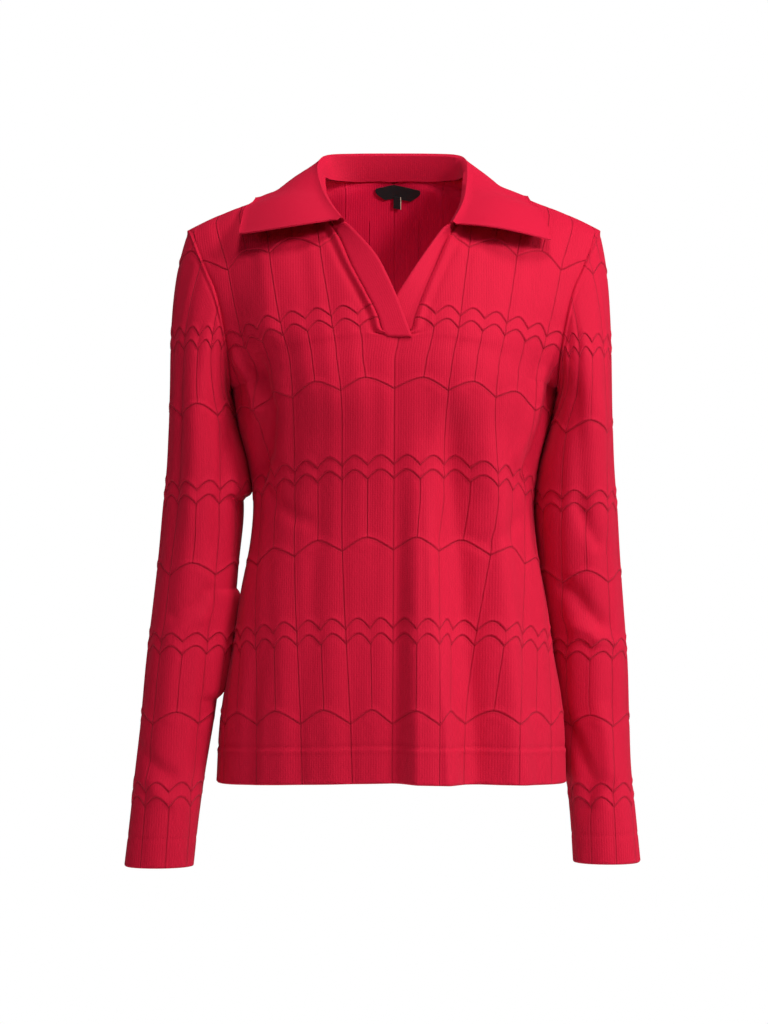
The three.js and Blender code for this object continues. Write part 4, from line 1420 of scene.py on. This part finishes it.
@dataclass
class Collar:
    """The turned-down collar, from its sewn edge up the stand, over the roll and down the fall."""

    body: Body
    roll_width: float = 5.0
    fall_lift: float = 6.5  # how far the fall arches above a straight line to its edge
    lie_clear: float = 2.3  # least height above the cloth that it lies on
    front_lift: float = 18.0  # how far the middle of its front edges stands off the chest
    front_drop: tuple[float, float] = (8.0, 5.0)  # and hangs down, on the wearer's right and left
    front_reach: float = 34.0  # how far that reaches along the collar
    sewn_below: float = 1.5  # the neck edge
    stand_rows: int = 12
    roll_degrees: tuple[float, ...] = (165, 145, 125, 105, 85, 65, 45, 25, 0)
    fall_rows: int = 50
    columns: int = 230
    rolled_edge: tuple[Bead, ...] = (Bead(-0.85, 0, 0.9), Bead(0.35, 3.2, 1.8))
    neck_seam: Bead = Bead(1.6, 2.6, 2.1)

    def __post_init__(self) -> None:
        """Lofts the collar and lays its fall on the body."""
        sections = RIGHT_COLLAR + LEFT_COLLAR[::-1]
        self.at = np.array([s.at for s in RIGHT_COLLAR] + [2 - s.at for s in LEFT_COLLAR[::-1]])
        self.roll = np.array([s.roll for s in sections], float)
        self.edge = np.array([s.edge for s in sections], float)
        self.fall_start = self.stand_rows + len(self.roll_degrees)
        self.points = self.lay(self.lift(self.loft()))
        self.normals = -grid_normals(self.points)

    def seam(self, at: Array) -> Array:
        """Places the collar's sewn edge.

        Args:
            at: Places round the neck edge, from 0 at its right end to 2 at its left end.

        Returns:
            Where the collar is sewn there.
        """
        right, left = self.neck_edge(-1, np.minimum(at, 1)), self.neck_edge(1, np.minimum(2 - at, 1))
        line = np.where(at[:, None] < 1, right, left)
        inside = line - unit(line * np.array([1, 1, 0])) * (BAND_CLOTH + 2 * SEAM_GAP)
        return inside - np.array([0, 0, self.sewn_below])

    def neck_edge(self, side: int, at: Array) -> Array:
        """Follows the neck edge of one half.

        Args:
            side: 1 for the wearer's left, or -1.
            at: Shares of the way from its front end to the centre back.

        Returns:
            The places on the edge.
        """
        front_t = np.linspace(NECK_ROW, len(FRONT_ROWS) - 1, 60)
        back_t = np.linspace(len(BACK_ROWS) - 1, BACK_NECK_ROW, 60)[1:]
        inner = np.zeros((60, 1))
        line = np.concatenate([self.body.front.loft.side(side, front_t, inner)[:, 0],
                               self.body.back.loft.side(side, back_t, inner[1:])[:, 0]])
        run = lengths_along(line, 0)
        return np.stack([np.interp(at * run[-1], run, line[:, k]) for k in range(3)], -1)

    def loft(self) -> Array:
        """Lofts the collar through its sections.

        Returns:
            Its grid, rows from the sewn edge outwards.
        """
        last = len(self.at) - 1
        places = edge_places(400.0, self.columns) / 400 * last
        seam = self.seam(along(self.at, places))
        roll, edge = along(self.roll, places), along(self.edge, places)
        before, after = np.maximum(places - 0.05, 0), np.minimum(places + 0.05, last)
        run = along(self.roll, after) - along(self.roll, before)
        out = unit(np.stack([-run[:, 1], run[:, 0], np.zeros(len(run))], -1))
        out = out * np.sign(((edge - roll) * out).sum(-1, keepdims=True))
        up = np.array([0, 0, 1.0])
        rows = [seam + (roll - seam) * f for f in np.linspace(0, 1, self.stand_rows)]
        for angle in map(math.radians, self.roll_degrees):
            rows.append(roll + (out * (1 + math.cos(angle)) + up * math.sin(angle)) * self.roll_width / 2)
        start = rows[-1]
        for f in edge_places(90.0, self.fall_rows)[3:] / 90:
            rows.append(start + (edge - start) * f + up * self.fall_lift * math.sin(math.pi * f))
        return np.array(rows)

    def grounds(self) -> list[tuple[BVHTree, Array, Array]]:
        """Returns a search tree, the cells and the normals of each half of the body, coarsely."""
        trees = []
        for half in (half for panel in self.body.panels() for half in panel.halves.values()):
            grid, normals = half.points[::3, ::3], half.normals[::3, ::3]
            cells = cell_corners(np.arange(grid[..., 0].size).reshape(grid.shape[:2]))
            tree = BVHTree.FromPolygons(grid.reshape(-1, 3).tolist(), cells.tolist())
            trees.append((tree, cells, normals.reshape(-1, 3)))
        return trees

    def lay(self, points: Array) -> Array:
        """Moves the fall out until it is clear of the body under it.

        Args:
            points: The collar's grid.

        Returns:
            The grid, with the move evened out over its neighbours.
        """
        grounds = self.grounds()
        laid = points.copy()
        for place in np.ndindex(laid[self.fall_start:].shape[:2]):
            p = laid[self.fall_start:][place]
            for _ in range(2):
                found = [(tree.find_nearest(Vector(p)), cells, normals) for tree, cells, normals in grounds]
                (ground, _, face, _), cells, normals = min(found, key=lambda hit: hit[0][3])
                normal = unit(normals[cells[face]].mean(0))
                p = p + normal * max(0.0, self.lie_clear - float((p - np.array(ground)) @ normal))
            laid[self.fall_start:][place] = p
        move, first = laid - points, self.fall_start
        for _ in range(SMOOTHINGS):
            move[:, 1:-1] += (move[:, :-2] + move[:, 2:] - 2 * move[:, 1:-1]) / 4
            move[first:-1] += (move[first - 1:-2] + move[first + 1:] - 2 * move[first:-1]) / 8
        return points + move

    def lift(self, points: Array) -> Array:
        """Lifts the front edges of the fall off the chest, most at their middle.

        Args:
            points: The collar's grid.

        Returns:
            The grid, moved.
        """
        down = np.arange(len(points)) - self.fall_start
        share = bell(self.from_ends(points), self.front_reach)
        share = share * np.sin(np.pi * np.clip(down / down[-1], 0, 1))[:, None]
        drop = np.where(np.arange(points.shape[1]) < points.shape[1] / 2, *self.front_drop)
        return points + np.stack([share * 0, -self.front_lift * share, -drop * share], -1)

    @staticmethod
    def from_ends(points: Array) -> Array:
        """Returns how far along its row each point of a grid is from the nearer end."""
        across = lengths_along(points, 1)
        return np.minimum(across, across[:, -1:] - across)

    def relief(self) -> Array:
        """Returns how far the right side stands out: edges roll in, and the neck seam is a bead."""
        down = lengths_along(self.points, 0)
        edge = np.minimum(down[-1] - down, self.from_ends(self.points))
        return beads(edge, self.rolled_edge) + self.neck_seam.out(down)

    def make(self) -> bpy.types.Object:
        """Makes the collar.

        Returns:
            The piece.
        """
        points = self.points + self.normals * self.relief()[..., None]
        across = lengths_along(self.points, 1)
        middle = across.shape[1] // 2
        stitch = np.stack([across - across[:, middle:middle + 1], lengths_along(self.points, 0)], -1)
        return one_patch_wall("collar", BAND_CLOTH, Patch.plain(points, self.normals, stitch), turned=True)


# ---------------------------------------------------------------------------------------------------
# The placket bands, the label and the tab


@dataclass(frozen=True)
class BandRow:
    """A row of a placket band: the front section that it is beside, how far its sewn edge lies past the
    slit's edge and above the body, and its free, folded edge."""

    at: float
    lap: float
    lift: float
    fold: Place


BANDS = {
    -1: (
        BandRow(9.9, 11, 2.4, (16.8, -119.6, -167)),
        BandRow(11, 1, 2.4, (11.6, -118.2, -153)),
        BandRow(12, 1, 2.4, (5.5, -115.6, -136.5)),
        BandRow(13, 1, 2.4, (-5, -110.4, -112)),
        BandRow(14, 1, 2.4, (-18.3, -102, -87)),
        BandRow(15, 1, 2.4, (-39.4, -90, -64)),
        BandRow(15.5, 3, 2.4, (-48.5, -84.5, -57.5)),
    ),
    1: (
        BandRow(11, 2, -2.3, (-6, -114, -155)),
        BandRow(12, 1.5, -2.3, (-2.5, -111.6, -137)),
        BandRow(13, 1.5, -2.3, (13, -106.6, -111)),
        BandRow(14, 1.5, -3.2, (28.5, -97.2, -88)),
        BandRow(15, 1.5, -3.5, (45, -86.2, -66)),
        BandRow(15.4, 3, -3.5, (52.5, -83, -60.5)),
    ),
}


@dataclass
class PlacketBand:
    """A straight strip of plain knit along one side of the slit."""

    side: int
    body: Body
    rows: int = 70
    columns: int = 14
    free_edge: Bead = Bead(-0.8, 0, 0.9)
    sewn_edge: Bead = Bead(-0.7, 0, 1.0)

    def __post_init__(self) -> None:
        """Lofts the band between its sewn edge and its folded edge."""
        side, loft = self.side, self.body.front.loft
        sewn = []
        for row in BANDS[side]:
            t = np.array([row.at, row.at + 0.02])
            step = loft.side(side, t[:1], np.array([[0, 0.01]]))[0]
            s = 0.01 * row.lap / np.linalg.norm(step[1] - step[0])
            around = loft.side(side, t, np.array([[s - 0.02, s, s + 0.02]] * 2))
            normal = unit(np.cross(around[0, 2] - around[0, 0], around[1, 1] - around[0, 1]))
            normal = normal * (-1 if normal[1] > 0 else 1)
            sewn.append(around[0, 1] + normal * row.lift)
        fold = np.array([row.fold for row in BANDS[side]], float)
        places = edge_places(100.0, self.rows) / 100 * (len(fold) - 1)
        start, end = along(np.array(sewn), places), along(fold, places)
        width = float(np.linalg.norm(end - start, axis=-1).mean())
        f = (edge_places(width, self.columns) / width)[None, :, None]
        self.points = start[:, None] * (1 - f) + end[:, None] * f
        self.normals = grid_normals(self.points)
        self.normals *= np.where(self.normals[..., 1:2] > 0, -1, 1)

    def make(self) -> bpy.types.Object:
        """Makes the band, whose edges roll in.

        Returns:
            The piece.
        """
        across, down = lengths_along(self.points, 1), lengths_along(self.points, 0)
        free = np.minimum(across[:, -1:] - across, np.minimum(down, down[-1] - down))
        relief = self.free_edge.out(free) + self.sewn_edge.out(across)
        points = self.points + self.normals * relief[..., None]
        patch = Patch.plain(points, self.normals, np.stack([across, down], -1))
        name = "placket_left" if self.side > 0 else "placket_right"
        return one_patch_wall(name, BAND_CLOTH, patch, turned=self.side < 0)


@dataclass(frozen=True)
class Label:
    """A woven label that hangs inside the back. widths are from its top down, and under is what it hangs
    over besides the back."""

    name: str
    x: float
    drop: float
    widths: tuple[float, ...]
    height: float
    under: float = 0.0
    thickness: float = 0.6
    # where pale sewing thread shows, as shares down and across: top, bottom, left and right
    threads: tuple[tuple[float, float, float, float], ...] = ()
    rows: int = 24
    columns: int = 60

    def points(self, body: Body) -> tuple[Array, Array]:
        """Lays the label inside the back.

        Args:
            body: The body.

        Returns:
            Its grid, and its normals, which face the back panel.
        """
        loft = body.back.loft
        down = np.linspace(0, 1, self.rows)
        width = along(np.array(self.widths, float), down * (len(self.widths) - 1))
        x = self.x + width[:, None] * (np.linspace(0, 1, self.columns)[None] - 0.5)
        rise = BACK_ROWS[BACK_NECK_ROW].inner[2] - BACK_ROWS[BACK_NECK_ROW - 1].inner[2]
        t = BACK_NECK_ROW - (self.drop + self.height * down) / rise
        s = np.zeros_like(x)
        for _ in range(8):
            s = s + (np.abs(x) - loft.point(t, s)[..., 0]) / 170
        points = hang(loft.point(t, s) * np.stack([np.where(x < 0, -1, 1), x * 0 + 1, x * 0 + 1], -1))
        normals = grid_normals(points)
        normals *= np.where(normals[..., 1:2] < 0, -1, 1)
        return points - normals * (CLOTH + SEAM_GAP + self.under + self.thickness), normals

    def make(self, body: Body) -> bpy.types.Object:
        """Makes the label.

        Args:
            body: The body.

        Returns:
            The piece.
        """
        points, normals = self.points(body)
        stitch = np.stack([lengths_along(points, 1), lengths_along(points, 0)], -1)
        rows, columns = (np.linspace(0, 1, n) for n in points.shape[:2])
        chart = stitch * 0
        for top, bottom, left, right in self.threads:
            inside = ((rows >= top) & (rows <= bottom))[:, None] & (columns >= left) & (columns <= right)
            chart[..., 0] = np.maximum(chart[..., 0], inside)
        patch = Patch.plain(points, normals, stitch, chart)
        return one_patch_wall(self.name, self.thickness, patch, turned=False)


LABELS = (
    Label("neck_label", 4, 3, (44, 45, 38, 26), 13,
          threads=((0.05, 0.11, 0.0, 0.06), (0.16, 0.2, 0.015, 0.045))),
    Label("size_tab", 3.5, 14, (8, 8), 10, under=0.9, threads=((0.0, 1.0, 0.93, 1.0),)),
)


# ---------------------------------------------------------------------------------------------------
# Finishes


class Number:
    """A number in a shader, which the usual operators work on."""

    def __init__(self, graph: "Graph", socket: bpy.types.NodeSocket) -> None:
        """Wraps an output socket."""
        self.graph = graph
        self.socket = socket

    def op(self, operation: str, *others: "Number | float") -> "Number":
        """Returns a Math node's result with this number first."""
        return self.graph.math(operation, self, *others)

    def __add__(self, other: "Number | float") -> "Number":
        """Returns self + other."""
        return self.op("ADD", other)

    __radd__ = __add__

    def __sub__(self, other: "Number | float") -> "Number":
        """Returns self - other."""
        return self.op("SUBTRACT", other)

    def __rsub__(self, other: float) -> "Number":
        """Returns other - self."""
        return self.graph.math("SUBTRACT", other, self)

    def __mul__(self, other: "Number | float") -> "Number":
        """Returns self * other."""
        return self.op("MULTIPLY", other)

    __rmul__ = __mul__

    def __truediv__(self, other: "Number | float") -> "Number":
        """Returns self / other."""
        return self.op("DIVIDE", other)

    def __rtruediv__(self, other: float) -> "Number":
        """Returns other / self."""
        return self.graph.math("DIVIDE", other, self)


class Graph:
    """The nodes of a material or of the surroundings."""

    def __init__(self, owner: bpy.types.Material | bpy.types.World) -> None:
        """Empties the node tree of a new material or world."""
        owner.use_nodes = True
        self.owner = owner
        self.tree = owner.node_tree
        self.tree.nodes.clear()

    def node(self, kind: str, settings: dict | None = None, inputs: dict | None = None) -> bpy.types.Node:
        """Adds a node.

        Args:
            kind: The node's type.
            settings: Its settings.
            inputs: Values or links by socket name or number.

        Returns:
            The node.
        """
        made = self.tree.nodes.new(kind)
        for name, value in (settings or {}).items():
            setattr(made, name, value)
        for name, value in (inputs or {}).items():
            socket = made.inputs[name]
            if isinstance(value, Number):
                value = value.socket
            if isinstance(value, bpy.types.NodeSocket):
                self.tree.links.new(value, socket)
            else:
                socket.default_value = value
        return made

    def math(self, operation: str, *values: Number | float) -> Number:
        """Returns the result of a Math node."""
        node = self.node("ShaderNodeMath", {"operation": operation}, dict(enumerate(values)))
        return Number(self, node.outputs[0])

    def layer(self, layer: Layer) -> tuple[Number, Number]:
        """Returns the two numbers of a coordinate layer."""
        uv = self.node("ShaderNodeUVMap", {"uv_map": layer.value})
        split = self.node("ShaderNodeSeparateXYZ", None, {0: uv.outputs[0]})
        return Number(self, split.outputs[0]), Number(self, split.outputs[1])

    def noise(self, scale: float, detail: float = 2.0) -> Number:
        """Adds noise on Object coordinates.

        Args:
            scale: Features per metre.
            detail: How many finer layers it has.

        Returns:
            The noise, from 0 to 1.
        """
        place = self.node("ShaderNodeTexCoord").outputs["Object"]
        node = self.node("ShaderNodeTexNoise", None, {"Vector": place, "Scale": scale, "Detail": detail})
        return Number(self, node.outputs[0])

    def wave(self, place: Number, pitch: float) -> Number:
        """Returns a wave from -1 to 1 with this pitch."""
        return (place * (ALL_ROUND / pitch)).op("COSINE")

    def camera_sees(self) -> Number:
        """Returns 1 on what the camera sees itself and 0 on what only lights or mirrors it."""
        return Number(self, self.node("ShaderNodeLightPath").outputs["Is Camera Ray"])

    def mix(self, factor: Number | float, one: object, other: object) -> bpy.types.NodeSocket:
        """Returns a mix of two colours."""
        node = self.node("ShaderNodeMix", {"data_type": "RGBA"}, {0: factor, 6: one, 7: other})
        return node.outputs[2]

    def finish(self, shader: dict, height: Number, depth: float) -> bpy.types.Material:
        """Links a Principled shader with a bump.

        Args:
            shader: The shader's inputs.
            height: The bump's height.
            depth: Metres to one unit of height.

        Returns:
            The material.
        """
        bump = self.node("ShaderNodeBump", None, {"Height": height, "Distance": depth, "Strength": 1.0})
        shader = {**shader, "Normal": bump.outputs[0]}
        surface = self.node("ShaderNodeBsdfPrincipled", None, shader)
        self.node("ShaderNodeOutputMaterial", None, {0: surface.outputs[0]})
        return self.owner


@dataclass(frozen=True)
class Knit:
    """A matte knit of dyed yarn. Colours are linear."""

    name: str
    wale: float  # millimetres from one wale to the next
    course: float  # and from one course to the next
    mid: Colour = (0.47, 0.0008, 0.024, 1)
    # the grooves' colour: partly the knit's own dark line, partly painted shade
    deep: Colour = (0.20, 0.0, 0.008, 1)
    pale: Colour = (0.56, 0.003, 0.036, 1)
    # painted light: the wrong side's colour, brighter than the right side's to stand in for light that
    # reaches inside the garment
    inside: Colour = (0.86, 0.004, 0.055, 1)
    sheen: Colour = (1.0, 0.25, 0.4, 1)

    def stitches(self, g: Graph) -> tuple[Number, Number, Number]:
        """Returns the waves of the wales and of the courses, and the speckle of the yarn."""
        x, y = g.layer(Layer.STITCH)
        return g.wave(x, self.wale), g.wave(y, self.course), g.noise(900.0)

    def finished(self, g: Graph, colour: bpy.types.NodeSocket, speckle: Number,
                 height: Number) -> bpy.types.Material:
        """Finishes the material.

        Args:
            g: Its nodes.
            colour: Its colour.
            speckle: The speckle of the yarn.
            height: Its bump, in millimetres.

        Returns:
            The material, matte with a faint sheen.
        """
        return g.finish({"Base Color": colour, "Roughness": (speckle - 0.5) * 0.15 + 0.8,
                         "Specular IOR Level": 0.2, "Sheen Weight": 0.05, "Sheen Roughness": 0.5,
                         "Sheen Tint": self.sheen}, height, MM)


@dataclass(frozen=True)
class ReliefKnit(Knit):
    """The fine relief knit of the body and sleeves."""

    name: str = "relief_knit"
    wale: float = 2.4
    course: float = 1.7
    wave_crest: Bead = Bead(0.35, 1.3, 1.0)
    wave_groove: Bead = Bead(1.0, -0.4, 0.75)
    rib_crest: Bead = Bead(0.25, 1.3, 0.9)
    rib_groove: Bead = Bead(1.0, 0, 0.6)

    def material(self) -> bpy.types.Material:
        """Makes the material.

        Returns:
            The material, whose grooves are darker, partly from the knit's own dark line and partly as
            painted shade, and whose wrong side is painted brighter, as painted light inside the garment.
        """
        g = Graph(bpy.data.materials.new(self.name))
        wale, course, speckle = self.stitches(g)
        patchy = g.noise(9.0, 3.0)
        u, v = g.layer(Layer.CHART)
        height = wale * 0.06 + course * 0.012 + speckle * 0.2
        # how dark the grooves are: the knit's own dark line plus painted shade under each wave's ridge and
        # along the ribs
        groove_line_and_shade = None
        for distance in CHART.waves(u, v):
            groove = self.wave_groove.out(distance)
            height = height + self.wave_crest.out(distance) - groove * 0.5
            groove_line_and_shade = groove if groove_line_and_shade is None else groove_line_and_shade.op("MAXIMUM", groove)
        up = fract(v)
        low, high = CHART.half_zone()
        zone = up.op("GREATER_THAN", low) * up.op("LESS_THAN", high)
        for rib, shown in zip(CHART.ribs(u), (1.0, zone)):
            groove = self.rib_groove.out(rib) * shown
            height = height + self.rib_crest.out(rib) * shown - groove * 0.45
            groove_line_and_shade = groove_line_and_shade.op("MAXIMUM", groove * 0.9)
        tone = g.mix((speckle - 0.35) * 0.8 + (patchy - 0.5) * 0.4, self.mid, self.pale)
        # darkens the grooves towards the deep colour: the knit's own dark line plus painted shade
        colour = g.mix(groove_line_and_shade * 0.45, tone, self.deep)
        # painted light: the wrong side is mixed towards the brighter inside colour
        wrong_side = v.op("GREATER_THAN", WRONG_SIDE_COURSE / 2)
        colour = g.mix(wrong_side * 0.6, colour, self.inside)
        return self.finished(g, colour, speckle, height)


@dataclass(frozen=True)
class PlainKnit(Knit):
    """The close plain knit of the collar and bands."""

    name: str = "plain_knit"
    wale: float = 2.0
    course: float = 1.5

    def material(self) -> bpy.types.Material:
        """Makes the material.

        Returns:
            The material, with a faint line for each wale.
        """
        g = Graph(bpy.data.materials.new(self.name))
        wale, course, speckle = self.stitches(g)
        tone = g.mix((speckle - 0.2) * 0.8 + wale * 0.04, self.mid, self.pale)
        return self.finished(g, tone, speckle, wale * 0.025 + course * 0.012 + speckle * 0.16)


@dataclass(frozen=True)
class LabelCloth:
    """Black woven satin."""

    name: str = "label_cloth"
    black: Colour = (0.006, 0.006, 0.007, 1)
    worn: Colour = (0.02, 0.02, 0.022, 1)
    thread: Colour = (0.62, 0.52, 0.4, 1)
    weft: float = 0.5  # millimetres from one weft to the next
    warp: float = 0.9

    def material(self) -> bpy.types.Material:
        """Makes the material.

        Returns:
            The material, with pale sewing thread where the chart's layer says so.
        """
        g = Graph(bpy.data.materials.new(self.name))
        x, y = g.layer(Layer.STITCH)
        weft, warp = g.wave(y, self.weft), g.wave(x, self.warp)
        threads, _ = g.layer(Layer.CHART)
        cloth = g.mix(weft * 0.2 + 0.3, self.black, self.worn)
        colour = g.mix(threads.op("GREATER_THAN", 0.5), cloth, self.thread)
        return g.finish({"Base Color": colour, "Roughness": warp * 0.05 + 0.42}, weft * warp, 0.02 * MM)


# ---------------------------------------------------------------------------------------------------
# The studio


@dataclass(frozen=True)
class SoftLight:
    """A square soft light, in metres."""

    name: str
    place: Place
    aim: Place
    size: float
    power: float
    shine: bool = False  # whether it shows in what is glossy


@dataclass(frozen=True)
class Studio:
    """A white floor, white surroundings, soft lights and the camera."""

    camera: Place = (-9.7, -3600, -331.7)
    lens: float = 130.5
    floor: float = -1.15
    floor_side: float = 60.0
    dim: float = 0.055  # how bright the surroundings are as a light
    tint: Colour = (1, 0.2, 0.3, 1)  # and their colour, as from cloth that lights other cloth
    lights: tuple[SoftLight, ...] = (
        SoftLight("key", (1.65, -1.55, 1.15), (0, 0, -0.2), 0.6, 54, shine=True),
        SoftLight("top", (0.1, -1.2, 2.1), (0, 0, -0.15), 0.6, 36, shine=True),
        SoftLight("side", (2.9, -0.6, 0.5), (0, 0, -0.3), 0.6, 32, shine=True),
        SoftLight("front", (-0.7, -3.2, 0.9), (0, 0, -0.1), 1.8, 17),
        SoftLight("other_side", (-2.8, -0.9, 0.6), (0, 0, -0.3), 1.6, 5),
        SoftLight("back", (0.6, 2.6, 1.4), (0, 0, -0.3), 1.8, 30),
    )

    def build(self) -> None:
        """Makes the studio."""
        self.build_camera()
        for light in self.lights:
            self.build_light(light)
        self.build_floor()
        self.build_world()

    def build_camera(self) -> None:
        """Makes the camera, level and square to the front."""
        data = bpy.data.cameras.new("camera")
        data.lens, data.sensor_width, data.sensor_fit = self.lens, 36.0, "AUTO"
        camera = bpy.data.objects.new("camera", data)
        camera.location = [v * MM for v in self.camera]
        camera.rotation_euler = (math.pi / 2, 0, 0)
        bpy.context.scene.collection.objects.link(camera)
        bpy.context.scene.camera = camera

    def build_light(self, light: SoftLight) -> None:
        """Makes one soft light."""
        data = bpy.data.lights.new(light.name, "AREA")
        data.energy, data.size = light.power, light.size
        lamp = bpy.data.objects.new(light.name, data)
        lamp.location = light.place
        lamp.visible_glossy = light.shine
        way = Vector(light.aim) - Vector(light.place)
        lamp.rotation_euler = way.to_track_quat("-Z", "Y").to_euler()
        bpy.context.scene.collection.objects.link(lamp)

    def build_floor(self) -> None:
        """Makes the floor, which looks as white as what is round it."""
        mesh = bpy.data.meshes.new("floor")
        half = self.floor_side / 2
        corners = [(-half, -half), (half, -half), (half, half), (-half, half)]
        mesh.from_pydata([(x, y, self.floor) for x, y in corners], [], [(0, 1, 2, 3)])
        floor = bpy.data.objects.new("floor", mesh)
        bpy.context.scene.collection.objects.link(floor)
        g = Graph(bpy.data.materials.new("floor"))
        lit = g.node("ShaderNodeBsdfPrincipled", None, {"Base Color": (0.9, 0.9, 0.9, 1), "Roughness": 1.0})
        white = g.node("ShaderNodeEmission")
        mix = g.node("ShaderNodeMixShader", None, {0: g.camera_sees(), 1: lit.outputs[0],
                                                   2: white.outputs[0]})
        g.node("ShaderNodeOutputMaterial", None, {0: mix.outputs[0]})
        mesh.materials.append(g.owner)

    def build_world(self) -> None:
        """Makes the white surroundings, dimmer as a light than as a backdrop."""
        g = Graph(bpy.data.worlds.new("world"))
        seen = g.camera_sees()
        colour = g.mix(seen, self.tint, (1, 1, 1, 1))
        shade = g.node("ShaderNodeBackground", None, {0: colour, 1: seen * (1 - self.dim) + self.dim})
        g.node("ShaderNodeOutputWorld", None, {0: shade.outputs[0]})
        bpy.context.scene.world = g.owner
        bpy.context.scene.view_settings.view_transform = "Standard"


# ---------------------------------------------------------------------------------------------------
# The garment


@dataclass(frozen=True)
class Cut:
    """The flat cut of a piece, in metres, and its area in square metres."""

    width: float
    length: float
    area: float


@dataclass(frozen=True)
class Finish:
    """A material, and the name of its slot."""

    slot: str
    material: bpy.types.Material

    def dress(self, piece: bpy.types.Object) -> bpy.types.Object:
        """Gives a piece this finish and ties it to the frame."""
        piece.data.materials.append(self.material)
        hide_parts(piece.name.removesuffix("_cloth"))
        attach(piece, "root")
        return piece


def main() -> None:
    """Builds the studio and every piece of the tunic."""
    logging.basicConfig(level=logging.INFO, format="%(name)s %(message)s")
    Studio().build()
    body = Body()
    relief, plain, woven = (Finish(f.name, f.material()) for f in (ReliefKnit(), PlainKnit(), LabelCloth()))
    sleeves = [Sleeve(sizes, body) for sizes in SLEEVES]
    for panel in body.panels():
        relief.dress(body.make(panel))
    for sleeve in sleeves:
        relief.dress(sleeve.make())
    plain.dress(Collar(body).make())
    for side in (1, -1):
        plain.dress(PlacketBand(side, body).make())
    label, tab = (woven.dress(label.make(body)) for label in LABELS)


if __name__ == "__main__":
    main()
